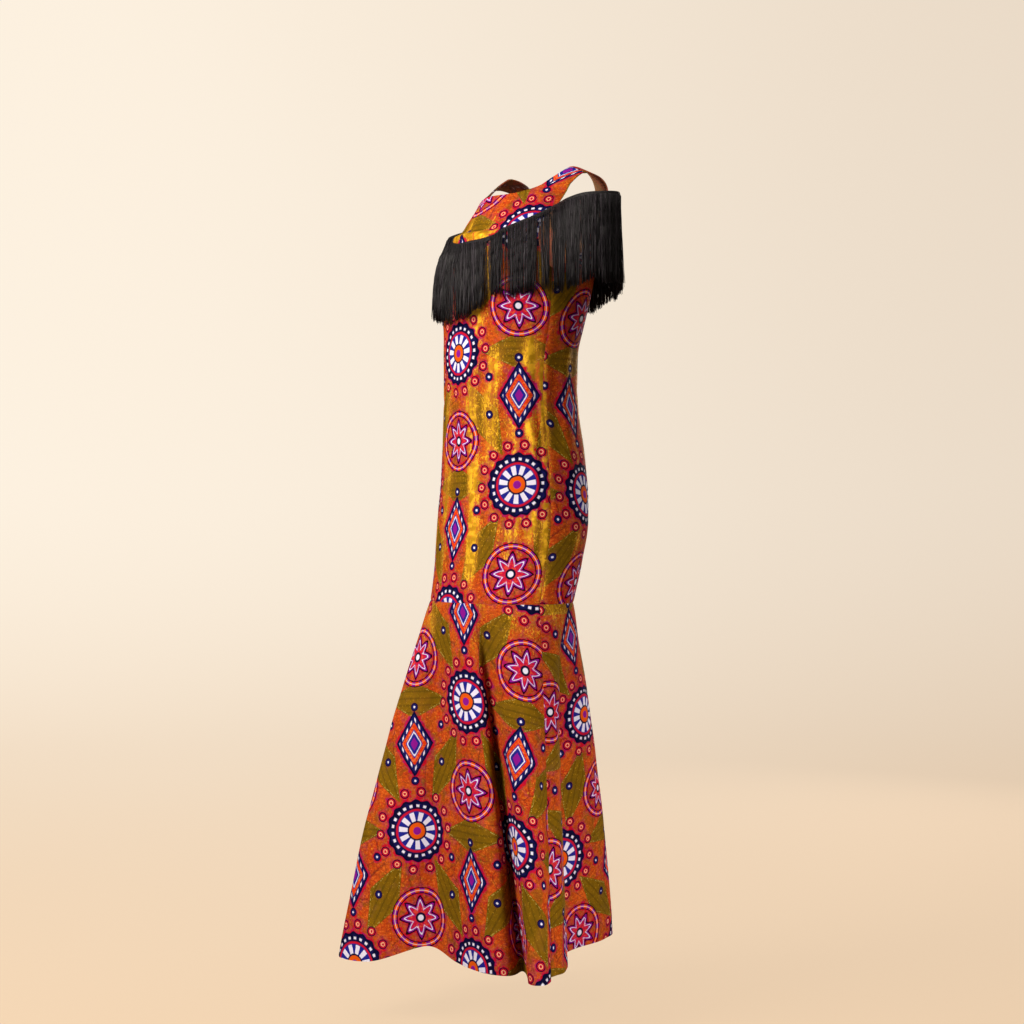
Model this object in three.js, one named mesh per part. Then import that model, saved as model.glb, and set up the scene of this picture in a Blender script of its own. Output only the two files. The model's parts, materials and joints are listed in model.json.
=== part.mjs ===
// Off-shoulder maxi dress: a fitted sheath to mid-thigh, a flared flounce below it,
// and a deep fringe that runs across the chest, over both upper arms and round the back.
//
// Millimetres, +Z up. The wearer faces -Y and +X is the wearer's left. The origin is on the
// shoulder line, midway between the two straps. "Drop" is the distance below that line, and
// "turn" is the angle round the body in degrees: 0 at centre front, 90 at the left side,
// 180 at centre back and -90 at the right side.
import * as THREE from 'three';

// ---- driving dimensions -------------------------------------------------------------------

const WALL = 2; // cloth wall
const TAPE = 2; // header tape wall
const FRINGE_WALL = 3; // reach of the strands, front to back
const SEAM_GAP = 0.3; // free gap between two sewn pieces
const LIE_GAP = 0.6; // gap under the header where it is sewn on the bodice
const STRAND_GAP = 2.4; // gap under the strands where they hang over the bodice

const SEAM_DROP = 770; // shoulder line to the flounce seam
const UNDERARM_DROP = 185;
const SIDE_SEAM_TURN = 71;
const TAPE_DEPTH = 12;
const FRINGE_DEPTH = 155; // header and strands together

const SECTION_STEP = 48; // spacing of the rings of points down the body
const BODY_COLUMNS = 20; // strips across the front body
const BACK_COLUMNS = 26; // strips across the back body
const STRAP_ROWS = 4;
const YOKE_ROWS = 7;
const FLOUNCE_ROWS = 6;
const FLOUNCE_STEP = 4.5; // turn between two columns of the flounce, degrees
const FRINGE_COLUMNS = 78;
const FRINGE_ROWS = 7;

// How far a surface is felt each way for its slope: in turn (degrees), in drop and as a share.
const FEEL_TURN = 0.5;
const FEEL_DROP = 2;
const FEEL_SHARE = 0.01;

// ---- the body form ------------------------------------------------------------------------

// One row for each section. half: half-width. front, mid, back: y at centre front, at the
// widest point and at centre back. bow and backBow: how full the front and back halves are
// (2 is an ellipse, less is flatter in the chest, more is squarer).
const SECTIONS = [
  { drop: 27, half: 136, front: -82, mid: 0, back: 71, bow: 1.5, backBow: 4.5 },
  { drop: 44, half: 135, front: -111, mid: 0, back: 73, bow: 1.5, backBow: 4.2 },
  { drop: 63, half: 131, front: -124, mid: -12, back: 75, bow: 1.55, backBow: 3.8 },
  { drop: 91, half: 128, front: -141, mid: -35, back: 76, bow: 1.7, backBow: 3.3 },
  { drop: 116, half: 129, front: -157, mid: -50, back: 75, bow: 1.95, backBow: 2.9 },
  { drop: 140, half: 138, front: -168, mid: -55, back: 73, bow: 2.05, backBow: 2.6 },
  { drop: 180, half: 149, front: -172, mid: -58, back: 66, bow: 2.15, backBow: 2.4 },
  { drop: 230, half: 151, front: -173, mid: -62, back: 54, bow: 2.15, backBow: 2.25 },
  { drop: 280, half: 147, front: -170, mid: -64, back: 41, bow: 2.1, backBow: 2.15 },
  { drop: 330, half: 141, front: -173, mid: -70, back: 32, bow: 2.05, backBow: 2.1 },
  { drop: 410, half: 138, front: -174, mid: -72, back: 30, bow: 2, backBow: 2.1 },
  { drop: 500, half: 147, front: -173, mid: -67, back: 39, bow: 2, backBow: 2.2 },
  { drop: 624, half: 159, front: -180, mid: -68, back: 44, bow: 2, backBow: 2.2 },
  { drop: 700, half: 158, front: -187, mid: -78, back: 31, bow: 2, backBow: 2.1 },
  { drop: 770, half: 155, front: -198, mid: -92, back: 14, bow: 2, backBow: 2 },
];

// Turn of the armhole edge on the front and back panels, from the strap to the underarm.
const ARMHOLE = [
  { drop: 27, front: 68, back: 131 },
  { drop: 63, front: 67.5, back: 129 },
  { drop: 100, front: 63, back: 122 },
  { drop: 130, front: 62, back: 115 },
  { drop: 152, front: 63, back: 105 },
  { drop: 172, front: 66, back: 89 },
  { drop: 185, front: 71, back: 71 },
];

const FRONT_NECK = { drop: 44, strapDrop: 27, cornerTurn: 37, curve: 3.5 };
const BACK_NECK = { drop: 37, strapDrop: 30, cornerTurn: 150, curve: 3 };

// The strap's two edges on the shoulder seam, and the points that pull each half over the
// shoulder, as in a quadratic curve.
const SHOULDER = { inner: [86, 0, 11], outer: [122, 0, -4.5] };
const FRONT_PULL = { inner: [85, -27, -3], outer: [119.5, -10, -7] };
const BACK_PULL = { inner: [90, 52, 14], outer: [122, 50, -3] };

// ---- the flounce --------------------------------------------------------------------------

const HEM_CENTRE = { x: -60, y: -80 };
const FLARE_KICK = 0.34; // how much faster the flounce spreads just under its seam
const BOW_PEAK = 4; // makes down × (1 − down) reach 1 half way down

// One row for each fold. turn: where it starts on the seam. hemTurn and reach: where its foot
// is, from the hem's own centre. hemDrop: shoulder line to hem there. bow: how far it stands
// out (or in, below zero) of the straight line from seam to hem, half way down.
const FOLDS = [
  { turn: -44, hemTurn: -36, reach: 266, hemDrop: 1416, bow: 0 }, // right front flute
  { turn: -33, hemTurn: -22, reach: 216, hemDrop: 1415, bow: 0 },
  { turn: -19, hemTurn: -8, reach: 120, hemDrop: 1388, bow: -4 }, // shallow valley
  { turn: -5, hemTurn: 27, reach: 118, hemDrop: 1407, bow: 0 },
  { turn: 7, hemTurn: 50, reach: 174, hemDrop: 1410, bow: 4 }, // centre flute
  { turn: 15, hemTurn: 63, reach: 198, hemDrop: 1410, bow: -4 },
  { turn: 24, hemTurn: 73, reach: 175, hemDrop: 1410, bow: -30 }, // deep trough
  { turn: 33, hemTurn: 68, reach: 250, hemDrop: 1412, bow: -2 },
  { turn: 49, hemTurn: 73, reach: 270, hemDrop: 1412, bow: 4 }, // narrow ridge at the side seam
  { turn: 71, hemTurn: 80, reach: 234, hemDrop: 1410, bow: 2 },
  { turn: 80, hemTurn: 88, reach: 224, hemDrop: 1410, bow: 0 },
  { turn: 88, hemTurn: 97, reach: 199, hemDrop: 1410, bow: -4 },
  { turn: 101, hemTurn: 120, reach: 148, hemDrop: 1410, bow: -18 }, // trough behind the seam
  { turn: 116, hemTurn: 143, reach: 172, hemDrop: 1408, bow: -4 },
  { turn: 130, hemTurn: 157, reach: 230, hemDrop: 1406, bow: 3 },
  { turn: 147, hemTurn: 171, reach: 274, hemDrop: 1406, bow: 4 }, // left back flute
  { turn: 163, hemTurn: 186, reach: 254, hemDrop: 1406, bow: 0 },
  { turn: 181, hemTurn: 204, reach: 176, hemDrop: 1410, bow: -14 },
  { turn: 204, hemTurn: 226, reach: 236, hemDrop: 1405, bow: 2 }, // right back flute
  { turn: 228, hemTurn: 250, reach: 172, hemDrop: 1410, bow: -14 },
  { turn: 254, hemTurn: 277, reach: 218, hemDrop: 1408, bow: 0 }, // right side flute
  { turn: 284, hemTurn: 299, reach: 186, hemDrop: 1412, bow: -10 },
];

// ---- the fringe ---------------------------------------------------------------------------

// One row for each point where the header is set, going round from centre front by the
// wearer's left arm. x, y, drop: the header's top edge. endX, endY, endDrop: strand ends.
const FRINGE = [
  { x: 0, y: -166, drop: 130, endX: 0, endY: -184, endDrop: 270 }, // centre front
  { x: 40, y: -158, drop: 126, endX: 43, endY: -180, endDrop: 257 },
  { x: 68, y: -134, drop: 108, endX: 76, endY: -166, endDrop: 242 },
  { x: 89, y: -98, drop: 90, endX: 104, endY: -147, endDrop: 233 },
  { x: 115, y: -58, drop: 66, endX: 134, endY: -124, endDrop: 229 },
  { x: 150, y: -62, drop: 60, endX: 163, endY: -90, endDrop: 224 }, // left arm, front
  { x: 184, y: -56, drop: 55, endX: 192, endY: -64, endDrop: 214 },
  { x: 208, y: -32, drop: 53, endX: 212, endY: -37, endDrop: 206 },
  { x: 213, y: -6, drop: 52, endX: 217, endY: -6, endDrop: 209 }, // left arm, outside
  { x: 199, y: 12, drop: 54, endX: 203, endY: 14, endDrop: 213 },
  { x: 172, y: 32, drop: 60, endX: 175, endY: 36, endDrop: 220 },
  { x: 134, y: 50, drop: 69, endX: 137, endY: 56, endDrop: 228 },
  { x: 90, y: 58, drop: 78, endX: 93, endY: 68, endDrop: 236 },
  { x: 44, y: 66, drop: 84, endX: 46, endY: 76, endDrop: 241 },
  { x: 0, y: 68, drop: 86, endX: 0, endY: 78, endDrop: 243 }, // centre back
  { x: -44, y: 66, drop: 86, endX: -46, endY: 76, endDrop: 243 },
  { x: -90, y: 58, drop: 84, endX: -93, endY: 68, endDrop: 242 },
  { x: -134, y: 50, drop: 83, endX: -137, endY: 56, endDrop: 241 },
  { x: -172, y: 30, drop: 86, endX: -176, endY: 34, endDrop: 244 },
  { x: -199, y: 6, drop: 91, endX: -205, endY: 8, endDrop: 249 },
  { x: -211, y: -20, drop: 94, endX: -217, endY: -22, endDrop: 251 }, // right arm, outside
  { x: -201, y: -50, drop: 95, endX: -210, endY: -62, endDrop: 251 },
  { x: -176, y: -69, drop: 94, endX: -190, endY: -96, endDrop: 249 },
  { x: -146, y: -68, drop: 90, endX: -162, endY: -114, endDrop: 246 }, // right arm, front
  { x: -114, y: -64, drop: 88, endX: -134, endY: -132, endDrop: 246 },
  { x: -89, y: -99, drop: 104, endX: -106, endY: -150, endDrop: 252 },
  { x: -68, y: -134, drop: 119, endX: -76, endY: -168, endDrop: 266 },
  { x: -40, y: -158, drop: 129, endX: -43, endY: -181, endDrop: 275 },
];
const SWING = 2.2; // how soon the strands reach their hanging place, 1 is at their ends
const LIFT = 4; // how soon they lift to STRAND_GAP, 1 is at their ends

// ---- small helpers ------------------------------------------------------------------------

const radians = THREE.MathUtils.degToRad;
const mix = (a, b, t) => a + (b - a) * t;
const mixPoint = (a, b, t) => a.map((value, axis) => mix(value, b[axis], t));

// Smooth curve through four values in a row, between the middle two, for uneven spacing.
function cubicBetween(rows, key, column, at) {
  const [r0, r1, r2, r3] = rows;
  const span = r2[key] - r1[key];
  const t = (at - r1[key]) / span;
  const slope1 = ((r2[column] - r0[column]) / (r2[key] - r0[key])) * span;
  const slope2 = ((r3[column] - r1[column]) / (r3[key] - r1[key])) * span;
  const t2 = t * t;
  const t3 = t2 * t;
  return (2 * t3 - 3 * t2 + 1) * r1[column] + (t3 - 2 * t2 + t) * slope1
    + (3 * t2 - 2 * t3) * r2[column] + (t3 - t2) * slope2;
}

// Every column of a table at one key value. The key rises down the table.
function readTable(table, key, at) {
  const value = THREE.MathUtils.clamp(at, table[0][key], table.at(-1)[key]);
  let i = 1;
  while (i < table.length - 1 && table[i][key] < value) i += 1;
  const before = table[Math.max(i - 2, 0)];
  const after = table[Math.min(i + 1, table.length - 1)];
  const rows = [before, table[i - 1], table[i], after];
  const result = {};
  for (const column of Object.keys(table[0])) {
    result[column] = cubicBetween(rows, key, column, value);
  }
  return result;
}

// The same for a table that goes once round and meets itself after one period.
function readRing(table, key, period, at) {
  const first = table[0][key];
  const value = first + THREE.MathUtils.euclideanModulo(at - first, period);
  const n = table.length;
  const row = (i) => {
    const turns = Math.floor(i / n);
    const source = table[i - turns * n];
    const extra = { [key]: source[key] + turns * period };
    if ('hemTurn' in source) extra.hemTurn = source.hemTurn + turns * period;
    return { ...source, ...extra };
  };
  let i = 0;
  while (row(i + 1)[key] <= value) i += 1;
  const rows = [row(i - 1), row(i), row(i + 1), row(i + 2)];
  const result = {};
  for (const column of Object.keys(table[0])) {
    result[column] = cubicBetween(rows, key, column, value);
  }
  return result;
}

// Outward unit normal of a surface, from its change along both parameters.
function normalOf(surface, a, b, stepA, stepB) {
  const between = (from, to) => new THREE.Vector3(...to).sub(new THREE.Vector3(...from));
  const along = between(surface(a - stepA, b), surface(a + stepA, b));
  const down = between(surface(a, b - stepB), surface(a, b + stepB));
  return down.cross(along).normalize();
}

// The same direction with nothing along one axis.
const flat = (normal, axis) => normal.clone().setComponent(axis, 0).normalize();

// ---- surfaces -----------------------------------------------------------------------------

// The body at a turn and a drop. Each half of a section is a superellipse in polar form.
function bodyPoint(turn, drop) {
  const s = readTable(SECTIONS, 'drop', drop);
  const across = Math.sin(radians(turn));
  const ahead = Math.cos(radians(turn));
  const bow = ahead > 0 ? s.bow : s.backBow;
  const depth = ahead > 0 ? s.mid - s.front : s.back - s.mid;
  const size = (Math.abs(across) ** bow + Math.abs(ahead) ** bow) ** (-1 / bow);
  return [s.half * across * size, s.mid - depth * ahead * size, -drop];
}

const bodyNormal = (turn, drop) => normalOf(bodyPoint, turn, drop, FEEL_TURN, FEEL_DROP);

// The turn that moves a point of a surface sideways by half the seam gap.
function gapTurn(surface, turn, other) {
  const before = new THREE.Vector3(...surface(turn - FEEL_TURN, other));
  const after = new THREE.Vector3(...surface(turn + FEEL_TURN, other));
  return FEEL_TURN * SEAM_GAP / before.distanceTo(after);
}

// The flounce: a straight rule from its seam to the hem at each turn, eased by FLARE_KICK.
// down is 0 at the seam and 1 at the hem.
function flouncePoint(turn, down) {
  const top = bodyPoint(turn, SEAM_DROP);
  const fold = readRing(FOLDS, 'turn', 360, turn);
  const hem = [
    HEM_CENTRE.x + fold.reach * Math.sin(radians(fold.hemTurn)),
    HEM_CENTRE.y - fold.reach * Math.cos(radians(fold.hemTurn)),
    -fold.hemDrop,
  ];
  const spread = down * (1 + FLARE_KICK * (1 - down));
  const bow = fold.bow * BOW_PEAK * down * (1 - down);
  return [
    mix(top[0], hem[0], spread) + bow * Math.sin(radians(fold.hemTurn)),
    mix(top[1], hem[1], spread) - bow * Math.cos(radians(fold.hemTurn)),
    mix(top[2], hem[2], down),
  ];
}

const flounceNormal = (turn, down) => normalOf(flouncePoint, turn, down, FEEL_TURN, FEEL_SHARE);

// Moves a point straight out from the body's axis until it is clear of the body by gap.
function pushClear([x, y, z], gap) {
  const s = readTable(SECTIONS, 'drop', -z);
  const depth = y < s.mid ? s.mid - s.front : s.back - s.mid;
  const bow = y < s.mid ? s.bow : s.backBow;
  const offset = y - s.mid;
  const size = (Math.abs(x / s.half) ** bow + Math.abs(offset / depth) ** bow) ** (1 / bow);
  const reach = Math.hypot(x, offset);
  const needed = reach / size + gap;
  if (reach >= needed) return [x, y, z];
  const scale = needed / reach;
  return [x * scale, s.mid + offset * scale, z];
}

// The inside face of the header and fringe. around is 0 to 1 from centre front by the left
// arm; down is 0 at the header's top edge and 1 at the strand ends. The strands swing out to
// their hanging place near the top and then fall straight.
const FRINGE_RING = FRINGE.map((row, i) => ({ around: i / FRINGE.length, ...row }));

function fringePoint(around, down) {
  const row = readRing(FRINGE_RING, 'around', 1, around);
  const out = 1 - (1 - Math.min(down, 1)) ** SWING;
  const x = mix(row.x, row.endX, out);
  const y = mix(row.y, row.endY, out);
  const lift = Math.min(LIFT * Math.max(down, 0), 1);
  return pushClear([x, y, -mix(row.drop, row.endDrop, down)], mix(LIE_GAP, STRAND_GAP, lift));
}

function fringeNormal(around, down) {
  return flat(normalOf(fringePoint, around, down, FEEL_SHARE / 4, FEEL_SHARE), 2);
}

// ---- walls --------------------------------------------------------------------------------

// Collects points, their outward directions and the triangles between them.
class Sheet {
  constructor() {
    this.points = [];
    this.out = [];
    this.triangles = [];
  }

  add(point, normal) {
    this.points.push(new THREE.Vector3(...point));
    this.out.push(normal);
    return this.points.length - 1;
  }

  // Two triangles between four corners, anticlockwise seen from outside.
  quad(a, b, c, d) {
    this.triangles.push([a, b, c], [a, c, d]);
  }

  // Fills a grid of point numbers. Rows go down and columns go from right to left as seen
  // from outside the back of the sheet, which is the way of rising turn.
  fill(rows) {
    for (let i = 0; i + 1 < rows.length; i += 1) {
      for (let j = 0; j + 1 < rows[i].length; j += 1) {
        this.quad(rows[i][j], rows[i + 1][j], rows[i + 1][j + 1], rows[i][j + 1]);
      }
    }
  }

  // A closed wall: one face at each offset from the sheet, joined along every free edge.
  wall(outside, inside) {
    const count = this.points.length;
    const positions = [];
    for (const offset of [outside, inside]) {
      this.points.forEach((point, i) => {
        positions.push(...point.clone().addScaledVector(this.out[i], offset).toArray());
      });
    }
    const free = new Map();
    for (const [a, b, c] of this.triangles) {
      for (const [from, to] of [[a, b], [b, c], [c, a]]) {
        if (!free.delete(`${to},${from}`)) free.set(`${from},${to}`, [from, to]);
      }
    }
    const index = [];
    for (const [a, b, c] of this.triangles) {
      index.push(a, b, c, count + a, count + c, count + b);
    }
    // Each edge strip is cut along the same diagonal, so that two facing edges stay parallel.
    for (const [from, to] of free.values()) {
      if (from < to) index.push(to, from, count + to, from, count + from, count + to);
      else index.push(to, from, count + from, to, count + from, count + to);
    }
    const geometry = new THREE.BufferGeometry();
    geometry.setAttribute('position', new THREE.Float32BufferAttribute(positions, 3));
    geometry.setIndex(index);
    geometry.computeVertexNormals();
    return geometry;
  }
}

// ---- body panels --------------------------------------------------------------------------

// How far up a column of the yoke goes, and where its armhole edge is.
function yoke(side) {
  if (side === 'front') {
    return {
      start: 0,
      edge: (drop) => readTable(ARMHOLE, 'drop', Math.min(drop, UNDERARM_DROP)).front,
      neck: FRONT_NECK,
      pull: FRONT_PULL,
      seamY: -SEAM_GAP / 2,
    };
  }
  return {
    start: 180,
    edge: (drop) => readTable(ARMHOLE, 'drop', Math.min(drop, UNDERARM_DROP)).back,
    neck: BACK_NECK,
    pull: BACK_PULL,
    seamY: SEAM_GAP / 2,
  };
}

// A point on a strap. across is 0 at the neck edge and 1 at the armhole edge, up is 0 at the
// strap's foot and 1 at the shoulder seam.
function strapPoint(cut, sign, across, up) {
  const footTurn = mix(cut.neck.cornerTurn, cut.edge(cut.neck.strapDrop), across);
  const foot = bodyPoint(footTurn, cut.neck.strapDrop);
  const pull = mixPoint(cut.pull.inner, cut.pull.outer, across);
  const top = mixPoint(SHOULDER.inner, SHOULDER.outer, across);
  top[1] = cut.seamY;
  const lower = mixPoint(foot, pull, up);
  const upper = mixPoint(pull, top, up);
  const point = mixPoint(lower, upper, up);
  return [sign * point[0], point[1], point[2]];
}

function bodyPanel(side) {
  const cut = yoke(side);
  const columns = side === 'front' ? BODY_COLUMNS : BACK_COLUMNS;
  const half = columns / 2;
  const cornerShare = (cut.neck.cornerTurn - cut.start) / (cut.edge(cut.neck.strapDrop) - cut.start);
  const cornerColumn = Math.round(cornerShare * half);
  // Share of the half panel for each column, so that one column meets the strap's neck edge.
  const share = (j) => {
    const k = Math.abs(j);
    const value = k <= cornerColumn
      ? (cornerShare * k) / cornerColumn
      : mix(cornerShare, 1, (k - cornerColumn) / (half - cornerColumn));
    return Math.sign(j) * value;
  };
  const turnAt = (j, drop) => {
    const edge = cut.edge(drop);
    const span = Math.abs(edge - cut.start) - gapTurn(bodyPoint, edge, drop);
    return cut.start + share(j) * span;
  };
  const topDrop = (j) => {
    const near = Math.min(Math.abs(share(j)) / cornerShare, 1);
    return mix(cut.neck.drop, cut.neck.strapDrop, near ** cut.neck.curve);
  };
  const order = Array.from({ length: columns + 1 }, (_, i) => i - half);

  const sheet = new Sheet();
  const trunkRows = Math.round((SEAM_DROP - UNDERARM_DROP) / SECTION_STEP);
  const lastRow = YOKE_ROWS + trunkRows;
  const dropAt = (i, j) => {
    if (i < YOKE_ROWS) return mix(topDrop(j), UNDERARM_DROP, i / YOKE_ROWS);
    return mix(UNDERARM_DROP, SEAM_DROP - SEAM_GAP / 2, (i - YOKE_ROWS) / trunkRows);
  };
  const rows = [];
  for (let i = 0; i <= lastRow; i += 1) {
    rows.push(order.map((j) => {
      const drop = dropAt(i, j);
      const turn = turnAt(j, drop);
      const normal = bodyNormal(turn, drop);
      return sheet.add(bodyPoint(turn, drop), i === lastRow ? flat(normal, 2) : normal);
    }));
  }
  sheet.fill(rows);

  for (const sign of [-1, 1]) {
    const strip = order.filter((j) => sign * j >= cornerColumn);
    const leftOrRight = side === 'front' ? sign : -sign;
    const strapSurface = (across, up) => strapPoint(cut, leftOrRight, across, up);
    const strapRows = [];
    for (let i = STRAP_ROWS; i >= 1; i -= 1) {
      const up = i / STRAP_ROWS;
      strapRows.push(strip.map((j) => {
        const across = (Math.abs(j) - cornerColumn) / (half - cornerColumn);
        const outward = normalOf(strapSurface, across, up, FEEL_SHARE, FEEL_SHARE);
        if (outward.z < 0) outward.negate();
        return sheet.add(strapSurface(across, up), i === STRAP_ROWS ? flat(outward, 1) : outward);
      }));
    }
    strapRows.push(strip.map((j) => rows[0][j + half]));
    sheet.fill(strapRows);
  }
  return sheet.wall(0, -WALL);
}

// ---- flounce panels -----------------------------------------------------------------------

function flouncePanel(fromTurn, toTurn) {
  const sheet = new Sheet();
  const columns = Math.round((toTurn - fromTurn) / FLOUNCE_STEP);
  const first = SEAM_GAP / 2 / (FOLDS[0].hemDrop - SEAM_DROP);
  const rows = [];
  for (let i = 0; i <= FLOUNCE_ROWS; i += 1) {
    const down = mix(first, 1, i / FLOUNCE_ROWS);
    const row = [];
    for (let j = 0; j <= columns; j += 1) {
      const start = fromTurn + gapTurn(flouncePoint, fromTurn, down);
      const end = toTurn - gapTurn(flouncePoint, toTurn, down);
      const turn = mix(start, end, j / columns);
      const normal = flounceNormal(turn, down);
      row.push(sheet.add(flouncePoint(turn, down), i === 0 ? flat(normal, 2) : normal));
    }
    rows.push(row);
  }
  sheet.fill(rows);
  return sheet.wall(0, -WALL);
}

// ---- header and fringe --------------------------------------------------------------------

function fringeBand(fromDown, toDown, rowCount, thickness) {
  const sheet = new Sheet();
  const rows = [];
  for (let i = 0; i <= rowCount; i += 1) {
    const down = mix(fromDown, toDown, i / rowCount);
    const row = [];
    for (let j = 0; j < FRINGE_COLUMNS; j += 1) {
      const around = j / FRINGE_COLUMNS;
      row.push(sheet.add(fringePoint(around, down), fringeNormal(around, down)));
    }
    row.push(row[0]);
    rows.push(row);
  }
  sheet.fill(rows);
  return sheet.wall(thickness, 0);
}

// ---- the dress ----------------------------------------------------------------------------

const cloth = new THREE.MeshStandardMaterial({ color: 0xc4612e, roughness: 0.55, metalness: 0.15 });
const black = new THREE.MeshStandardMaterial({ color: 0x17151a, roughness: 0.6, metalness: 0 });

const dress = new THREE.Group();

function addPiece(name, geometry, material) {
  const piece = new THREE.Mesh(geometry, material);
  piece.name = name;
  dress.add(piece);
}

const tapeShare = TAPE_DEPTH / FRINGE_DEPTH;
const gapShare = SEAM_GAP / FRINGE_DEPTH;

addPiece('front_body', bodyPanel('front'), cloth);
addPiece('back_body', bodyPanel('back'), cloth);
addPiece('flounce_front', flouncePanel(-SIDE_SEAM_TURN, SIDE_SEAM_TURN), cloth);
addPiece('flounce_back', flouncePanel(SIDE_SEAM_TURN, 360 - SIDE_SEAM_TURN), cloth);
addPiece('fringe_header', fringeBand(0, tapeShare, 1, TAPE), black);
addPiece('fringe', fringeBand(tapeShare + gapShare, 1, FRINGE_ROWS, FRINGE_WALL), black);

export default dress;
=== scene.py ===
"""Looks of an off-shoulder maxi dress: a printed cotton sheath with a flared flounce, and a
deep black fringe that runs across the chest and over both upper arms.

Tables and surfaces are in millimetres in the frame's axes: +Z up, the wearer faces -Y and +X
is the wearer's left. "Drop" is the distance below the shoulder line. "Turn" is the angle
round the body in degrees: 0 at centre front, 90 at the left side and 180 at centre back.
"""

import json
import math

import bpy
import numpy as np
from bpy.props import FloatProperty, FloatVectorProperty, IntProperty, PointerProperty
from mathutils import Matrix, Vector

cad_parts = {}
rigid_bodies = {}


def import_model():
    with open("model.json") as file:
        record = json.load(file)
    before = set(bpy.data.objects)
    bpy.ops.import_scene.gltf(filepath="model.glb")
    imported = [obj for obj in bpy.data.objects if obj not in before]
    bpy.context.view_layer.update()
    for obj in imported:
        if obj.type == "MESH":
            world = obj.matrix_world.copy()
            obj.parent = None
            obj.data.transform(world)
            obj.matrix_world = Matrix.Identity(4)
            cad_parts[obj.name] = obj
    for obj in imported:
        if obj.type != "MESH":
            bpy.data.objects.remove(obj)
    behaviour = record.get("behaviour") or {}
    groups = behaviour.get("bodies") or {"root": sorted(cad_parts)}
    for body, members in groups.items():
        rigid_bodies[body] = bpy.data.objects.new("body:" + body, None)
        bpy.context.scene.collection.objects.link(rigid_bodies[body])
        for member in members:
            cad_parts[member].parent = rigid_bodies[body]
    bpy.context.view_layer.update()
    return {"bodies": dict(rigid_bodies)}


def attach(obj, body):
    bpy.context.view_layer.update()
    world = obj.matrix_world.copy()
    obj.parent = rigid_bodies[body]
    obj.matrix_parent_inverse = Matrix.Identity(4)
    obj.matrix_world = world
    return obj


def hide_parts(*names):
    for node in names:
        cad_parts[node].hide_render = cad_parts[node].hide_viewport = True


bl_info = {
    "name": "Off-shoulder maxi dress",
    "version": (1, 0, 0),
    "blender": (4, 5, 0),
    "location": "View3D > Sidebar > Dress",
    "description": "Builds a printed and fringed maxi dress around its measured frame",
    "category": "Add Mesh",
}

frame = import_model()
MM = 0.001
BODY = next(iter(frame["bodies"]))

# ---- the garment's sizes ------------------------------------------------------------------


def columns(names, *rows):
    """A table as named columns."""
    return dict(zip(names.split(), np.array(rows, float).T))


SEAM_GAP = 0.3
LIE_GAP = 0.6
STRAND_GAP = 2.4
SEAM_DROP = 770.0
UNDERARM_DROP = 185.0
SIDE_SEAM_TURN = 71.0
TAPE_DEPTH = 12.0
FRINGE_DEPTH = 155.0

# Half-width, y at centre front, at the widest point and at centre back, and how full the
# front and back halves of each section are.
SECTIONS = columns(
    "drop half front mid back bow back_bow",
    (27, 136, -82, 0, 71, 1.5, 4.5),
    (44, 135, -111, 0, 73, 1.5, 4.2),
    (63, 131, -124, -12, 75, 1.55, 3.8),
    (91, 128, -141, -35, 76, 1.7, 3.3),
    (116, 129, -157, -50, 75, 1.95, 2.9),
    (140, 138, -168, -55, 73, 2.05, 2.6),
    (180, 149, -172, -58, 66, 2.15, 2.4),
    (230, 151, -173, -62, 54, 2.15, 2.25),
    (280, 147, -170, -64, 41, 2.1, 2.15),
    (330, 141, -173, -70, 32, 2.05, 2.1),
    (410, 138, -174, -72, 30, 2, 2.1),
    (500, 147, -173, -67, 39, 2, 2.2),
    (624, 159, -180, -68, 44, 2, 2.2),
    (700, 158, -187, -78, 31, 2, 2.1),
    (770, 155, -198, -92, 14, 2, 2),
)
# Turn of the armhole edge on each panel.
ARMHOLE = columns(
    "drop front back",
    (27, 68, 131),
    (63, 67.5, 129),
    (100, 63, 122),
    (130, 62, 115),
    (152, 63, 105),
    (172, 66, 89),
    (185, 71, 71),
)
SHOULDER_INNER, SHOULDER_OUTER = (86, 0, 11), (122, 0, -4.5)
FRONT_CUT = {
    "start": 0.0, "edge": "front", "seam_y": -SEAM_GAP / 2,
    "neck_drop": 44.0, "strap_drop": 27.0, "corner_turn": 37.0, "curve": 3.5,
    "pull_inner": (85, -27, -3), "pull_outer": (119.5, -10, -7),
}
BACK_CUT = {
    "start": 180.0, "edge": "back", "seam_y": SEAM_GAP / 2,
    "neck_drop": 37.0, "strap_drop": 30.0, "corner_turn": 150.0, "curve": 3.0,
    "pull_inner": (90, 52, 14), "pull_outer": (122, 50, -3),
}
HEM_CENTRE_X, HEM_CENTRE_Y = -60.0, -80.0
FLARE_KICK = 0.34
BOW_PEAK = 4.0
# Each fold: where it starts on the seam, where its foot is, its hem, and how far it bows.
FOLDS = columns(
    "turn hem_turn reach hem_drop bow",
    (-44, -36, 266, 1416, 0),
    (-33, -22, 216, 1415, 0),
    (-19, -8, 120, 1388, -4),
    (-5, 27, 118, 1407, 0),
    (7, 50, 174, 1410, 4),
    (15, 63, 198, 1410, -4),
    (24, 73, 175, 1410, -30),
    (33, 68, 250, 1412, -2),
    (49, 73, 270, 1412, 4),
    (71, 80, 234, 1410, 2),
    (80, 88, 224, 1410, 0),
    (88, 97, 199, 1410, -4),
    (101, 120, 148, 1410, -18),
    (116, 143, 172, 1408, -4),
    (130, 157, 230, 1406, 3),
    (147, 171, 274, 1406, 4),
    (163, 186, 254, 1406, 0),
    (181, 204, 176, 1410, -14),
    (204, 226, 236, 1405, 2),
    (228, 250, 172, 1410, -14),
    (254, 277, 218, 1408, 0),
    (284, 299, 186, 1412, -10),
)
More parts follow.
